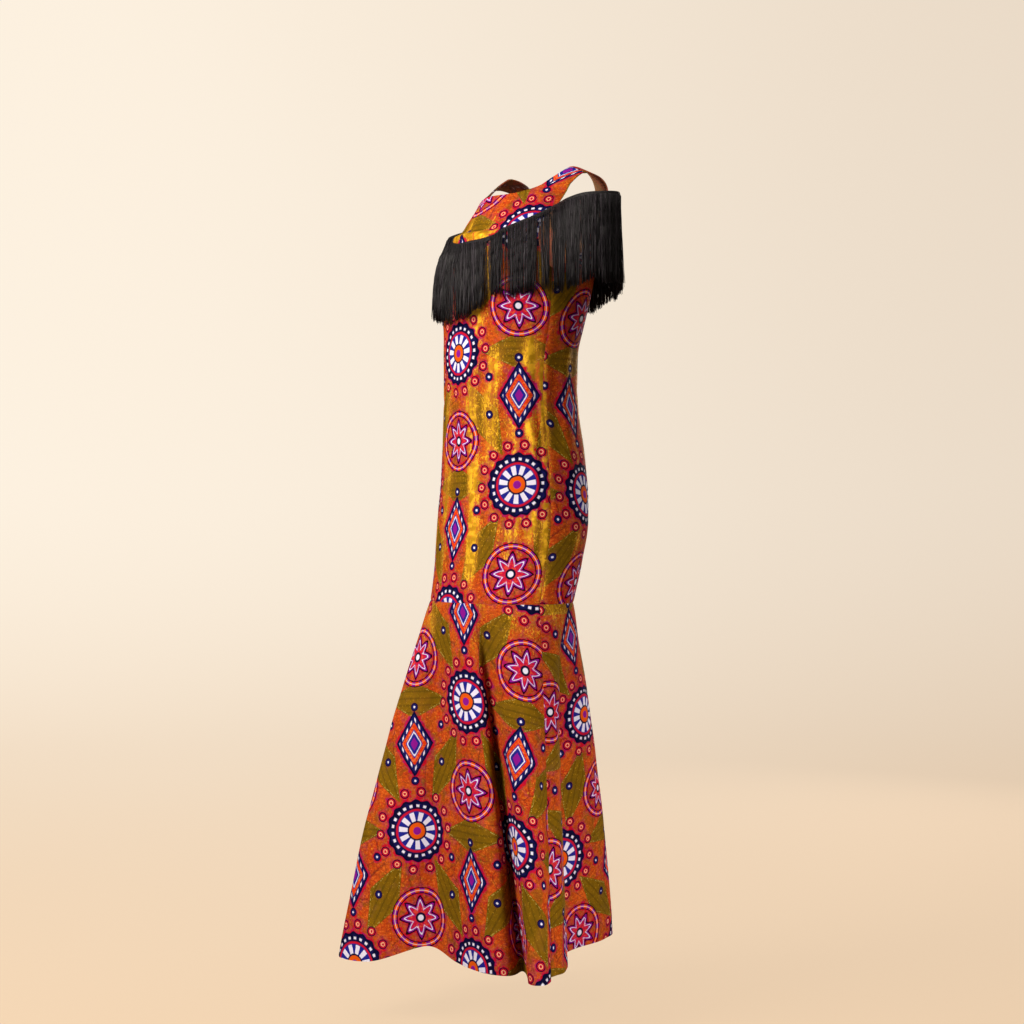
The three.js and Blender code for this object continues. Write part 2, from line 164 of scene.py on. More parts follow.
# Where the header is set, from centre front round by the left arm, and the strand ends.
FRINGE = columns(
    "x y drop end_x end_y end_drop",
    (0, -166, 130, 0, -184, 270),
    (40, -158, 126, 43, -180, 257),
    (68, -134, 108, 76, -166, 242),
    (89, -98, 90, 104, -147, 233),
    (115, -58, 66, 134, -124, 229),
    (150, -62, 60, 163, -90, 224),
    (184, -56, 55, 192, -64, 214),
    (208, -32, 53, 212, -37, 206),
    (213, -6, 52, 217, -6, 209),
    (199, 12, 54, 203, 14, 213),
    (172, 32, 60, 175, 36, 220),
    (134, 50, 69, 137, 56, 228),
    (90, 58, 78, 93, 68, 236),
    (44, 66, 84, 46, 76, 241),
    (0, 68, 86, 0, 78, 243),
    (-44, 66, 86, -46, 76, 243),
    (-90, 58, 84, -93, 68, 242),
    (-134, 50, 83, -137, 56, 241),
    (-172, 30, 86, -176, 34, 244),
    (-199, 6, 91, -205, 8, 249),
    (-211, -20, 94, -217, -22, 251),
    (-201, -50, 95, -210, -62, 251),
    (-176, -69, 94, -190, -96, 249),
    (-146, -68, 90, -162, -114, 246),
    (-114, -64, 88, -134, -132, 246),
    (-89, -99, 104, -106, -150, 252),
    (-68, -134, 119, -76, -168, 266),
    (-40, -158, 129, -43, -181, 275),
)
FRINGE["around"] = np.arange(len(FRINGE["x"])) / len(FRINGE["x"])
SWING, LIFT = 2.2, 4.0

# Long soft creases of the sheath. depth is positive for a ridge, width is their half-width,
# and drift is how far they wander round the body from top to foot.
BODY_CREASES = columns(
    "turn top foot drift width depth",
    (5, 250, 690, 4, 11, 2.2),
    (17, 300, 640, -3, 12, -1.6),
    (57, 290, 740, 3, 8, 2.6),
    (63, 300, 700, 2, 6, -2.4),
    (69, 330, 760, 1, 8, 2.2),
    (34, 330, 560, 5, 16, -1.5),
    (-14, 330, 600, -4, 15, -1.6),
    (-30, 270, 640, 3, 13, 1.8),
    (-52, 300, 700, -2, 10, 2.2),
    (-60, 320, 690, -2, 8, -2.2),
    (-67, 300, 740, 1, 8, 1.8),
    (82, 260, 640, 4, 13, -2.4),
    (94, 300, 700, 3, 12, 1.9),
    (112, 280, 560, -5, 17, -2.2),
    (131, 320, 620, 4, 14, 2.2),
    (152, 300, 560, 6, 18, -2.4),
    (171, 340, 640, -5, 13, 1.9),
    (192, 310, 560, 6, 17, -2.3),
    (214, 330, 640, -4, 14, 2.2),
    (238, 290, 590, 5, 17, -2.2),
    (262, 300, 700, -3, 12, 1.8),
    (278, 270, 650, -4, 13, -2.2),
)
# Short creases that run round the body: at the waist, under the arms and over the hips.
CROSS_CREASES = columns(
    "turn drop reach slope width depth",
    (48, 398, 34, 0.5, 7, -1.3),
    (-46, 404, 36, -0.5, 7, -1.3),
    (62, 232, 20, 0.9, 7, -1.6),
    (-62, 236, 22, -0.9, 7, -1.6),
    (20, 590, 34, 0.35, 9, 1.2),
    (-22, 640, 36, -0.3, 9, 1.2),
    (150, 372, 40, -0.35, 8, -2.0),
    (205, 392, 44, 0.3, 8, -2.2),
    (176, 430, 50, 0.1, 9, -1.8),
    (158, 350, 30, 0.3, 7, 1.2),
    (120, 420, 28, -0.8, 8, -1.5),
    (240, 424, 30, 0.8, 8, -1.5),
    (185, 566, 52, 0.12, 11, 1.4),
)
# Low ripples of the flounce between its folds.
FLOUNCE_RIPPLES = columns(
    "turn drift width depth",
    (-58, -6, 8, 3.2),
    (-38, 4, 5, -2.4),
    (-12, 9, 7, 2.8),
    (1, 6, 5, -2.2),
    (41, 3, 4, -2.0),
    (60, 2, 5, 2.6),
    (76, 1, 3, -1.8),
    (95, 4, 5, 2.6),
    (110, 5, 6, -2.4),
    (139, 3, 5, 2.4),
    (156, 4, 5, -2.6),
    (172, 3, 6, 3.0),
    (193, 6, 6, -2.6),
    (216, 4, 6, 2.8),
    (241, 5, 6, -2.4),
    (268, 4, 6, 2.8),
)

# ---- reading the tables -------------------------------------------------------------------


def rows_of(table):
    """A table's rows, one dictionary each."""
    return [dict(zip(table, map(float, row))) for row in zip(*table.values())]


def smooth_read(table, key, at, period=None, turning=()):
    """Every column of a table at many keys. Between two rows it is the cubic that meets both,
    with the slope at a row taken from the rows either side. A ring repeats after one period,
    and its turning columns gain a period each time round."""
    at = np.asarray(at, float)
    if period:
        first = table[key][0]
        at = first + np.mod(at - first, period)
        step = {name: period if name in (key, *turning) else 0.0 for name in table}
        table = {
            name: np.concatenate([values[-2:] - step[name], values, values[:3] + step[name]])
            for name, values in table.items()
        }
    keys = table[key]
    last = len(keys) - 1
    before = np.maximum(np.arange(last + 1) - 1, 0)
    after = np.minimum(np.arange(last + 1) + 1, last)
    at = np.clip(at, keys[0], keys[-1])
    i = np.clip(np.searchsorted(keys, at, side="right") - 1, 0, last - 1)
    span = keys[i + 1] - keys[i]
    t = (at - keys[i]) / span
    rise = t * t * (3 - 2 * t)
    out = {}
    for name, values in table.items():
        slope = (values[after] - values[before]) / (keys[after] - keys[before])
        bend = span * t * (1 - t) * (slope[i] * (1 - t) - slope[i + 1] * t)
        out[name] = values[i] + (values[i + 1] - values[i]) * rise + bend
    return out


def ease(value, low, high):
    """0 below low, 1 above high and a smooth step between. low may be the larger."""
    t = np.clip((value - low) / (high - low), 0, 1)
    return t * t * (3 - 2 * t)


def blend(a, b, t):
    """The point a share t of the straight way from a to b."""
    return a + (b - a) * t


def bell(off, width):
    """A bell curve: 1 at 0 and exp(-1) at one width either side."""
    return np.exp(-((off / width) ** 2))


def wrapped(off, period=360.0):
    """A distance round a ring, taken the shorter way: up to half a period either side of 0."""
    return np.mod(off + period / 2, period) - period / 2


# ---- surfaces -----------------------------------------------------------------------------

CENTRE_SOFTNESS = 0.06


def half_section(section, in_front):
    """How deep the front or back half of a section is, and how full."""
    front, back = section["mid"] - section["front"], section["back"] - section["mid"]
    return np.where(in_front, front, back), np.where(in_front, section["bow"], section["back_bow"])


def body_point(turn, drop):
    """The body at a turn and a drop. Each half of a section is a superellipse in polar form:
    the radius is (|sin|^bow + |cos|^bow)^(-1/bow), and |sin| is rounded off near centre."""
    s = smooth_read(SECTIONS, "drop", drop)
    across, ahead = np.sin(np.radians(turn)), np.cos(np.radians(turn))
    depth, bow = half_section(s, ahead > 0)
    soft = CENTRE_SOFTNESS
    lowest, highest = soft**bow, (1 + soft**2) ** (bow / 2)
    side = ((across**2 + soft**2) ** (bow / 2) - lowest) / (highest - lowest)
    size = (side + np.abs(ahead) ** bow) ** (-1 / bow)
    return np.stack([s["half"] * across * size, s["mid"] - depth * ahead * size, -drop + 0 * turn], -1)


def strap_point(cut, sign, across, up):
    """A strap as a quadratic curve from its foot, by its pull point, to the shoulder seam.
    across is 0 at the neck edge and 1 at the armhole, up is 0 at the foot."""
    outer_turn = smooth_read(ARMHOLE, "drop", cut["strap_drop"])[cut["edge"]]
    foot = body_point(blend(cut["corner_turn"], outer_turn, across), cut["strap_drop"] + 0 * across)
    share = across[..., None]
    pull = blend(np.array(cut["pull_inner"], float), np.array(cut["pull_outer"], float), share)
    top = blend(np.array(SHOULDER_INNER, float), np.array(SHOULDER_OUTER, float), share)
    top[..., 1] = cut["seam_y"]
    rise = up[..., None]
    point = blend(blend(foot, pull, rise), blend(pull, top, rise), rise)
    return point * (sign, 1, 1)


def flounce_point(turn, down):
    """The flounce: a straight rule from the seam to the hem at each turn, eased so that it
    spreads faster just under the seam, plus each fold's bow half way down."""
    top = body_point(turn, np.full_like(turn, SEAM_DROP))
    fold = smooth_read(FOLDS, "turn", turn, 360.0, ("hem_turn",))
    out_x, out_y = np.sin(np.radians(fold["hem_turn"])), -np.cos(np.radians(fold["hem_turn"]))
    spread = down * (1 + FLARE_KICK * (1 - down))
    bow = fold["bow"] * BOW_PEAK * down * (1 - down)
    x = blend(top[..., 0], HEM_CENTRE_X + fold["reach"] * out_x, spread) + bow * out_x
    y = blend(top[..., 1], HEM_CENTRE_Y + fold["reach"] * out_y, spread) + bow * out_y
    return np.stack([x, y, blend(top[..., 2], -fold["hem_drop"], down)], -1)


def push_clear(point, gap):
    """Moves a point straight out from the body's axis until it is clear of the body."""
    x, y, z = point[..., 0], point[..., 1], point[..., 2]
    s = smooth_read(SECTIONS, "drop", -z)
    offset = y - s["mid"]
    depth, bow = half_section(s, offset < 0)
    size = (np.abs(x / s["half"]) ** bow + np.abs(offset / depth) ** bow) ** (1 / bow)
    reach = np.hypot(x, offset)
    scale = np.maximum(1, (reach / size + gap) / reach)
    return np.stack([x * scale, s["mid"] + offset * scale, z], -1)


def fringe_point(around, down):
    """Inside face of the header and fringe: the strands swing from the header's line out to
    their hanging place near the top, and then fall straight."""
    row = smooth_read(FRINGE, "around", around, 1.0)
    out = 1 - (1 - np.minimum(down, 1)) ** SWING
    lift = np.clip(LIFT * down, 0, 1)
    x, y = blend(row["x"], row["end_x"], out), blend(row["y"], row["end_y"], out)
    point = np.stack([x, y, -blend(row["drop"], row["end_drop"], down)], -1)
    return push_clear(point, blend(LIE_GAP, STRAND_GAP, lift))


# ---- meshes -------------------------------------------------------------------------------


def numbered(shape):
    """A grid of point numbers, row by row."""
    return np.arange(np.prod(shape)).reshape(shape)


def closed_round(number):
    """A grid of point numbers whose first column follows its last."""
    return np.concatenate([number, number[:, :1]], axis=1)


def grid_faces(number):
    """Quads over a grid of point numbers whose rows go down and columns go with the turn."""
    corners = number[:-1, :-1], number[1:, :-1], number[1:, 1:], number[:-1, 1:]
    return np.stack(corners, -1).reshape(-1, 4)


def point_normals(points, quads):
    """Unit normals at the points: the sum of each quad's diagonals crossed."""
    a, b, c, d = (points[quads[:, k]] for k in range(4))
    face = np.cross(c - a, d - b)
    share = np.repeat(face, 4, axis=0).T
    total = np.stack([np.bincount(quads.ravel(), axis, len(points)) for axis in share], -1)
    return total / np.maximum(np.linalg.norm(total, axis=1, keepdims=True), 1e-9)


def shell(points, quads, thickness):
    """A closed wall: the outer face, an inner face moved in along the normals, and a rim of
    quads along every free edge."""
    count = len(points)
    inner = points - point_normals(points, quads) * np.reshape(thickness, (-1, 1))
    edges = np.concatenate([quads[:, [k, (k + 1) % 4]] for k in range(4)])
    low, high = edges.min(axis=1), edges.max(axis=1)
    _, first, uses = np.unique(low * count + high, return_index=True, return_counts=True)
    free = edges[first[uses == 1]]
    rim = np.stack([free[:, 1], free[:, 0], free[:, 0] + count, free[:, 1] + count], -1)
    faces = np.concatenate([quads, quads[:, ::-1] + count, rim])
    return np.concatenate([points, inner]), faces


def build_mesh(name, points, *face_sets):
    """A mesh object from points in millimetres and arrays of quads or triangles."""
    mesh = bpy.data.meshes.new(name)
    corners = np.concatenate([faces.ravel() for faces in face_sets])
    sizes = np.concatenate([np.full(len(faces), faces.shape[1]) for faces in face_sets])
    mesh.vertices.add(len(points))
    mesh.vertices.foreach_set("co", (points * MM).astype(np.float32).ravel())
    mesh.loops.add(len(corners))
    mesh.loops.foreach_set("vertex_index", corners.astype(np.int32))
    mesh.polygons.add(len(sizes))
    mesh.polygons.foreach_set("loop_start", (np.cumsum(sizes) - sizes).astype(np.int32))
    mesh.update(calc_edges=True)
    mesh.shade_smooth()
    piece = bpy.data.objects.new(name, mesh)
    bpy.context.scene.collection.objects.link(piece)
    return piece


def store(piece, name, values):
    """A point attribute that materials read, with one or three numbers at each point."""
    values = np.asarray(values, np.float32)
    kind, key = ("FLOAT", "value") if values.ndim == 1 else ("FLOAT_VECTOR", "vector")
    piece.data.attributes.new(name, kind, "POINT").data.foreach_set(key, values.ravel())


def finish_piece(piece, node, material):
    """Gives a piece its material, attaches it to the body and hides the frame's part that it takes the
    place of.
    """
    piece.data.materials.append(bpy.data.materials[material])
    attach(piece, BODY)
    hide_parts(node)


# ---- creases ------------------------------------------------------------------------------

RIPPLE_SEED = 11
RIPPLE_COUNT = 14
RIPPLE_PITCH = 40.0, 140.0
RIPPLE_HEIGHT = 0.28
TURN_MM = 2.6  # surface that one degree of turn covers on the sheath, roughly


def crease_height(turn, drop):
    """Height of the sheath's creases: each long one is a bell curve across, and a half sine
    along its length, and short ones are bell curves both ways about a sloping line."""
    height = np.zeros_like(turn)
    for i, c in enumerate(rows_of(BODY_CREASES)):
        share = np.clip((drop - c["top"]) / (c["foot"] - c["top"]), 0, 1)
        wander = c["drift"] * share + 1.4 * np.sin(share * 7 + i * 1.7)
        across = bell(wrapped(turn - c["turn"] - wander) * TURN_MM, c["width"] * (1 + 0.5 * share))
        height += c["depth"] * across * np.sin(math.pi * share) ** 0.8
    for i, c in enumerate(rows_of(CROSS_CREASES)):
        off = wrapped(turn - c["turn"]) * TURN_MM
        rise = drop - c["drop"] - c["slope"] * off - 3 * np.sin(off / 14 + i)
        height += c["depth"] * bell(rise, c["width"]) * bell(off, c["reach"])
    return height


def cloth_ripple(u, v, seed):
    """Low uneven swell of the cloth: a sum of seeded sine waves, each as high as it is long."""
    draw = np.random.default_rng(seed)
    total = np.zeros_like(u)
    for _ in range(RIPPLE_COUNT):
        angle, phase = draw.uniform(0, math.pi), draw.uniform(0, math.tau)
        pitch = draw.uniform(*RIPPLE_PITCH)
        along = u * math.cos(angle) + v * math.sin(angle) * 0.6
        total += np.sin(along * math.tau / pitch + phase) * pitch / RIPPLE_PITCH[1]
    return total * RIPPLE_HEIGHT


# The fold that the header pushes up on the right of the chest: it stands just above the
# header's line, with a trough above it, and dies away at both ends.
HEADER_FOLD = {
    "from": -52.0, "to": 36.0, "above": 11.0, "width": 7.0, "depth": 7.5,
    "trough_above": 15.0, "trough_width": 9.0, "trough_share": 0.45,
}
CHEST_MIDDLE_Y = -55.0
CHEST_TURN = 88.0


def header_drop(turn):
    """Drop of the header's top edge at a turn of the front body, read off its line."""
    row = smooth_read(FRINGE, "around", np.linspace(0, 1, 600), 1.0)
    angle = np.degrees(np.arctan2(row["x"], -(row["y"] - CHEST_MIDDLE_Y)))
    ahead = np.abs(angle) < CHEST_TURN
    order = np.argsort(angle[ahead])
    return np.interp(turn, angle[ahead][order], row["drop"][ahead][order])


def header_fold(turn, drop):
    """Height of that fold: a bell curve less a lower one above it, times a half sine along."""
    f = HEADER_FOLD
    along = np.sin(math.pi * np.clip((turn - f["from"]) / (f["to"] - f["from"]), 0, 1))
    above = header_drop(turn) - drop - f["above"] * along
    trough = f["trough_share"] * bell(above - f["trough_above"], f["trough_width"])
    return f["depth"] * (bell(above, f["width"]) - trough) * along**1.2


# ---- cloth panels -------------------------------------------------------------------------

WALL_MM, HEM_WALL_MM, HEM_REACH = 1.1, 2.0, 9.0
TUCK_DEPTH, TUCK_REACH = 0.9, 2.4
STITCH_FROM_HEM, STITCH_REACH, STITCH_DEPTH = 22.0, 2.6, 0.5
YOKE_TOP = 35.0  # the neckline's drop, near enough to share out the rows
SEWN_FROM, SEWN_TO = UNDERARM_DROP - 6, UNDERARM_DROP + 6
FREE_OF_EDGES = 99.0
GAP_STEP = 0.5  # degrees over which a seam's gap is turned into turn


def edge_wall(to_edge):
    """Thickness near a turned edge: HEM_WALL_MM at the edge, and WALL_MM past HEM_REACH."""
    return blend(WALL_MM, HEM_WALL_MM, ease(to_edge, HEM_REACH, HEM_REACH * 0.5))


def seam_tuck(to_seam):
    """How far cloth dips where it is sewn: a bell curve of the distance to the seam."""
    return -TUCK_DEPTH * bell(to_seam, TUCK_REACH)


def seam_turn(point_at, turn):
    """Half a seam's gap in degrees at a turn, from the surface's own size there."""
    before, after = (point_at(turn + step) for step in (-GAP_STEP, GAP_STEP))
    return GAP_STEP * SEAM_GAP / np.linalg.norm(after - before, axis=-1)


def row_lengths(points, middle):
    """Distance along each row of a grid of points, from its middle column."""
    steps = np.linalg.norm(np.diff(points, axis=1), axis=-1)
    run = np.concatenate([np.zeros((len(points), 1)), np.cumsum(steps, axis=1)], axis=1)
    return run - run[:, middle : middle + 1]


def column_heights(points):
    """Distance up each column of a grid of points, from its lowest row."""
    return -row_lengths(points.swapaxes(0, 1), len(points) - 1).T


def to_row_ends(lengths):
    """Distance to the nearer end of a row, along it."""
    return np.minimum(lengths - lengths[:, :1], lengths[:, -1:] - lengths)


def sheet_of(quads, *grids):
    """A panel's arrays, with every grid in parts laid end to end as a list of points."""
    flattened = [[part.reshape(-1, *part.shape[2:]) for part in parts] for parts in grids]
    points, u, v, lift, wall = (np.concatenate(parts) for parts in flattened)
    return points, np.concatenate(quads), np.stack([u, v], -1), lift, wall


def body_sheet(cut, columns_count, rows_count, strap_rows):
    """A body panel as one sheet: rows from the neck and strap feet down to the underarm and
    on to the flounce seam, and a strap on each side above the neck's corners. Returns its
    points, quads, flat coordinates, the dip or rise of every point along its normal, and the
    wall's thickness."""
    half = columns_count // 2
    foot_turn = smooth_read(ARMHOLE, "drop", cut["strap_drop"])[cut["edge"]]
    corner = abs(cut["corner_turn"] - cut["start"]) / abs(foot_turn - cut["start"])
    corner_column = int(round(corner * half))
    k = np.arange(-half, half + 1)
    past_corner = (np.abs(k) - corner_column) / (half - corner_column)
    inner = corner * np.abs(k) / corner_column
    share = np.sign(k) * np.where(past_corner <= 0, inner, corner + past_corner * (1 - corner))
    near = np.minimum(np.abs(share) / corner, 1)
    top = blend(cut["neck_drop"], cut["strap_drop"], near ** cut["curve"])
    low = SEAM_DROP - SEAM_GAP / 2
    yoke_rows = int(rows_count * (UNDERARM_DROP - YOKE_TOP) / (low - YOKE_TOP))
    level = np.arange(rows_count + 1)[:, None]
    yoke = blend(top[None], UNDERARM_DROP, level / yoke_rows)
    below = blend(UNDERARM_DROP, low, (level - yoke_rows) / (rows_count - yoke_rows))
    drop = np.where(level <= yoke_rows, yoke, below)
    edge = smooth_read(ARMHOLE, "drop", np.minimum(drop, UNDERARM_DROP))[cut["edge"]]
    gap_turn = seam_turn(lambda turn: body_point(turn, drop), edge)
    turn = cut["start"] + share[None] * (np.abs(edge - cut["start"]) - gap_turn)
    points = body_point(turn, drop)
    u, v = row_lengths(points, half), column_heights(points)
    to_side, sewn = to_row_ends(u), ease(drop, SEWN_FROM, SEWN_TO)
    lift = crease_height(turn, drop) + cloth_ripple(u, v, RIPPLE_SEED + len(cut["edge"]))
    if cut is FRONT_CUT:
        lift = lift + header_fold(turn, drop)
    calm = ease(to_side, 0, 16) * ease(v, 0, 22) * ease(drop, 40, 90)
    lift = lift * calm + seam_tuck(to_side) * sewn + seam_tuck(v)
    to_neck = v[:1] - v + FREE_OF_EDGES * (near >= 1)[None]
    wall = edge_wall(np.minimum(blend(to_side, FREE_OF_EDGES, sewn), to_neck))

    number = numbered(points.shape[:2])
    quads, count = [grid_faces(number)], number.size
    grids = [[points], [u], [v], [lift], [wall]]
    up = np.arange(strap_rows, 0, -1)[:, None] / strap_rows
    for sign in (-1, 1):
        strip = np.flatnonzero(sign * k >= corner_column)
        across, rise = np.broadcast_arrays(past_corner[None, strip], up)
        strap = strap_point(cut, sign if cut is FRONT_CUT else -sign, across, rise)
        full = np.concatenate([strap, points[:1, strip]])
        middle = int(np.argmin(np.abs(across[0] - 0.5)))
        strap_u = row_lengths(full, middle)[:-1] + u[0, strip[middle]]
        climb = column_heights(full)
        strap_v, to_top = climb[:-1] + v[0, strip], climb[0] - climb[:-1]
        strap_wall = edge_wall(to_row_ends(strap_u))
        for grid, more in zip(grids, (strap, strap_u, strap_v, seam_tuck(to_top), strap_wall)):
            grid.append(more)
        own = count + numbered(across.shape)
        count += own.size
        quads.append(grid_faces(np.concatenate([own, number[:1, strip]])))
    return sheet_of(quads, *grids)


def flat_sector(lengths, height, middle):
    """The ring sector that a flounce panel unrolls into. Its heading turns, from one column
    to the next, by the hem's gain in length over the seam divided by the column's length."""
    gain = np.diff(lengths[-1] - lengths[0])
    heading = np.concatenate([[0], np.cumsum(gain * 2 / (height[0, 1:] + height[0, :-1]))])
    heading -= heading[middle]
    between = (heading[1:] + heading[:-1]) / 2
    step = np.diff(lengths[0]) * np.array([np.cos(between), np.sin(between)])
    seam = np.concatenate([np.zeros((2, 1)), np.cumsum(step, axis=1)], axis=1)
    seam = seam - seam[:, [middle]]
    depth = height[:1] - height
    return seam[0] + depth * np.sin(heading), seam[1] - depth * np.cos(heading)


def flounce_sheet(from_turn, to_turn, columns_count, rows_count):
    """A flounce panel as one sheet on its straight rules, laid flat as a ring sector, with
    ripples that are bell curves across and grow towards the hem."""
    first = SEAM_GAP / 2 / (FOLDS["hem_drop"][0] - SEAM_DROP)
    down = blend(first, 1, np.linspace(0, 1, rows_count + 1))[:, None]
    ends = [
        turn + sign * seam_turn(lambda at: flounce_point(at, down), np.full_like(down, turn))
        for turn, sign in ((from_turn, 1), (to_turn, -1))
    ]
    turn = blend(*ends, np.linspace(0, 1, columns_count + 1)[None])
    down = np.broadcast_to(down, turn.shape)
    points = flounce_point(turn, down)
    middle = columns_count // 2
    height, lengths = column_heights(points), row_lengths(points, middle)
    depth, to_side = height[:1] - height, to_row_ends(lengths)
    u, v = flat_sector(lengths, height, middle)
    lift = np.zeros_like(turn)
    for c in rows_of(FLOUNCE_RIPPLES):
        off = wrapped(turn - c["turn"] - c["drift"] * (down - 0.5))
        lift += c["depth"] * bell(off, c["width"]) * down**1.3
    lift += cloth_ripple(u, v, RIPPLE_SEED + columns_count)
    lift = lift * ease(to_side, 0, 18) * ease(depth, 0, 30) + seam_tuck(to_side) + seam_tuck(depth)
    lift -= STITCH_DEPTH * bell(height - STITCH_FROM_HEM, STITCH_REACH)
    grids = [points], [u], [v], [lift], [edge_wall(height)]
    return sheet_of([grid_faces(numbered(turn.shape))], *grids)


def flat_size(flat, quads):
    """Width and length of a cut's own box, and its area by the shoelace sum, in metres."""
    width, length = (float(side) for side in np.ptp(flat, axis=0) * MM)
    x, y = flat[quads, 0], flat[quads, 1]
    area = np.abs((x * np.roll(y, -1, 1) - np.roll(x, -1, 1) * y).sum(1)).sum() / 2
    return (width, length), float(area) * MM * MM


# ---- the print ----------------------------------------------------------------------------

# The print is a geometric half-drop repeat on the flat cloth, in millimetres: a medallion at
# every place of the lattice, with a star and a diamond in the two gaps between three of them.
ACROSS, UP = np.array([270.0, 0.0]), np.array([135.0, 234.0])
FAR = 60.0

MEDALLIONS = columns("x y r", (0, 0, 51))
HOOPS = columns("x y r width", (135, 78, 49, 3.6))
STARS = columns("x y r points", (135, 78, 38, 8))
DIAMONDS = columns("x y half height turn", (0, 156, 34, 54, 0))
# Olive lozenges of the ground, which point from one medallion to the next.
LOZENGES = columns(
    "x y half height turn",
    (67.5, 117, 32, 76, -30),
    (-67.5, 117, 32, 76, 30),
    (135, 0, 32, 76, 90),
)
# Rings of dots round a middle: kind 0 is crimson and kind 1 is blue with a white centre.
DOT_RINGS = columns(
    "x y ring r count kind",
    (0, 0, 70, 7.0, 14, 0),
    (0, 156, 66, 6.0, 6, 1),
)


def turned(local, degrees):
    """Points turned clockwise by an angle, which turns the motif they sample the other way."""
    c, s = math.cos(math.radians(degrees)), math.sin(math.radians(degrees))
    return np.stack([local[:, 0] * c + local[:, 1] * s, local[:, 1] * c - local[:, 0] * s], -1)


# Each shape below gives a motif's middle, how far it reaches and a function of points about
# that middle: the signed distance to its edge and two more numbers that its colours use.


def placed(row, size, shape):
    """A motif drawn about its own middle and then turned."""
    turn = row.get("turn", 0.0)
    return (row["x"], row["y"]), size + FAR, lambda local: shape(turned(local, turn))


def medallion_shape(row):
    """A disc whose edge swells in sixteen low lobes, by the cosine of 16 times the angle. Its
    numbers are the place on it as shares of its size."""

    def shape(p):
        angle, away = np.arctan2(p[:, 1], p[:, 0]), np.hypot(p[:, 0], p[:, 1])
        edge = row["r"] * (1 + 0.04 * np.cos(16 * angle))
        return np.stack([away - edge, p[:, 0] / row["r"], p[:, 1] / row["r"]], -1)

    return placed(row, row["r"], shape)


def hoop_shape(row):
    """A ring band about a circle. Its numbers are the angle and the place across the band."""

    def shape(p):
        off = np.hypot(p[:, 0], p[:, 1]) - row["r"]
        return np.stack([np.abs(off) - row["width"], np.arctan2(p[:, 1], p[:, 0]), off], -1)

    return placed(row, row["r"], shape)


def star_shape(row):
    """A pointed star: its edge is a triangle wave of the angle. Its numbers are the place on
    it as shares of its size."""

    def shape(p):
        angle, away = np.arctan2(p[:, 1], p[:, 0]), np.hypot(p[:, 0], p[:, 1])
        wave = np.abs(np.mod(angle * row["points"] / math.tau, 1) - 0.5) * 2
        edge = row["r"] * (0.52 + 0.48 * wave**1.2)
        return np.stack([(away - edge) * 0.7, p[:, 0] / row["r"], p[:, 1] / row["r"]], -1)

    return placed(row, row["r"], shape)


def diamond_shape(row):
    """A rhombus: the sum of the shares across and up is 1 at its edge. Its numbers are that
    sum and the share across."""

    def shape(p):
        across, up = np.abs(p[:, 0]) / row["half"], np.abs(p[:, 1]) / row["height"]
        slope = row["half"] * row["height"] / math.hypot(row["half"], row["height"])
        return np.stack([(across + up - 1) * slope, across + up, p[:, 0] / row["half"]], -1)

    return placed(row, row["height"], shape)


def dot_shape(row):
    """A disc. Its numbers are the share of the way out, and its kind."""

    def shape(p):
        away = np.hypot(p[:, 0], p[:, 1])
        return np.stack([away - row["r"], away / row["r"], np.full_like(away, row["kind"])], -1)

    return placed(row, row["r"], shape)


def dots_round(ring):
    """The dots of a ring, evenly spaced about its middle."""
    for angle in np.arange(ring["count"]) * math.tau / ring["count"] + math.pi / 6:
        x = ring["x"] + ring["ring"] * math.cos(angle)
        y = ring["y"] + ring["ring"] * math.sin(angle)
        yield {"x": x, "y": y, "r": ring["r"], "kind": ring["kind"]}


FAMILIES = {
    "lozenge": (rows_of(LOZENGES), diamond_shape),
    "hoop": (rows_of(HOOPS), hoop_shape),
    "star": (rows_of(STARS), star_shape),
    "diamond": (rows_of(DIAMONDS), diamond_shape),
    "medallion": (rows_of(MEDALLIONS), medallion_shape),
    "dot": ([dot for ring in rows_of(DOT_RINGS) for dot in dots_round(ring)], dot_shape),
}
REPEATS = range(-14, 15)


def laid_places(middle, reach, low, high):
    """Every place of the lattice at which a motif reaches into the box from low to high."""
    for i in REPEATS:
        for j in REPEATS:
            centre = np.array(middle) + i * ACROSS + j * UP
            if np.all(centre + reach >= low) and np.all(centre - reach <= high):
                yield centre


def print_fields(flat):
    """Numbers for the print at points of the flat cloth. Each motif is laid at every place of
    the lattice, and each family keeps the motif that is nearest, by its signed distance."""
    low, high = flat.min(axis=0), flat.max(axis=0)
    fields = {}
    for family, (rows, shape_of) in FAMILIES.items():
        best = np.tile([FAR, 0.0, 0.0], (len(flat), 1))
        for middle, reach, shape in map(shape_of, rows):
            for centre in laid_places(middle, reach, low, high):
                local = flat - centre
                near = np.flatnonzero((np.abs(local) < reach).all(axis=1))
                value = shape(local[near])
                nearer = value[:, 0] < best[near, 0]
                best[near[nearer]] = value[nearer]
        fields[family] = best
    return fields


# ---- shader helpers -----------------------------------------------------------------------


def linear(code):
    """A colour's linear values from its usual six-figure code."""
    parts = [int(code[i : i + 2], 16) / 255 for i in (0, 2, 4)]
    return tuple(c / 12.92 if c <= 0.04045 else ((c + 0.055) / 1.055) ** 2.4 for c in parts)


def plug(place, value):
    """Links a wire to an input, or sets the input to a number, a colour or a colour's code."""
    if isinstance(value, Wire):
        place.id_data.links.new(value.socket, place)
    elif place.type == "RGBA":
        place.default_value = (*(linear(value) if isinstance(value, str) else value), 1.0)
    else:
        place.default_value = value


def add_node(tree, kind, inputs, **settings):
    """A new shader node with its settings and its inputs."""
    node = tree.nodes.new("ShaderNode" + kind)
    for name, value in settings.items():
        setattr(node, name, value)
    for place, value in dict(inputs).items():
        plug(node.inputs[place], value)
    return node


def maths(operation):
    """A method of Wire that makes one kind of Math node."""
    return lambda wire, *others: wire.math(operation, wire, *others)


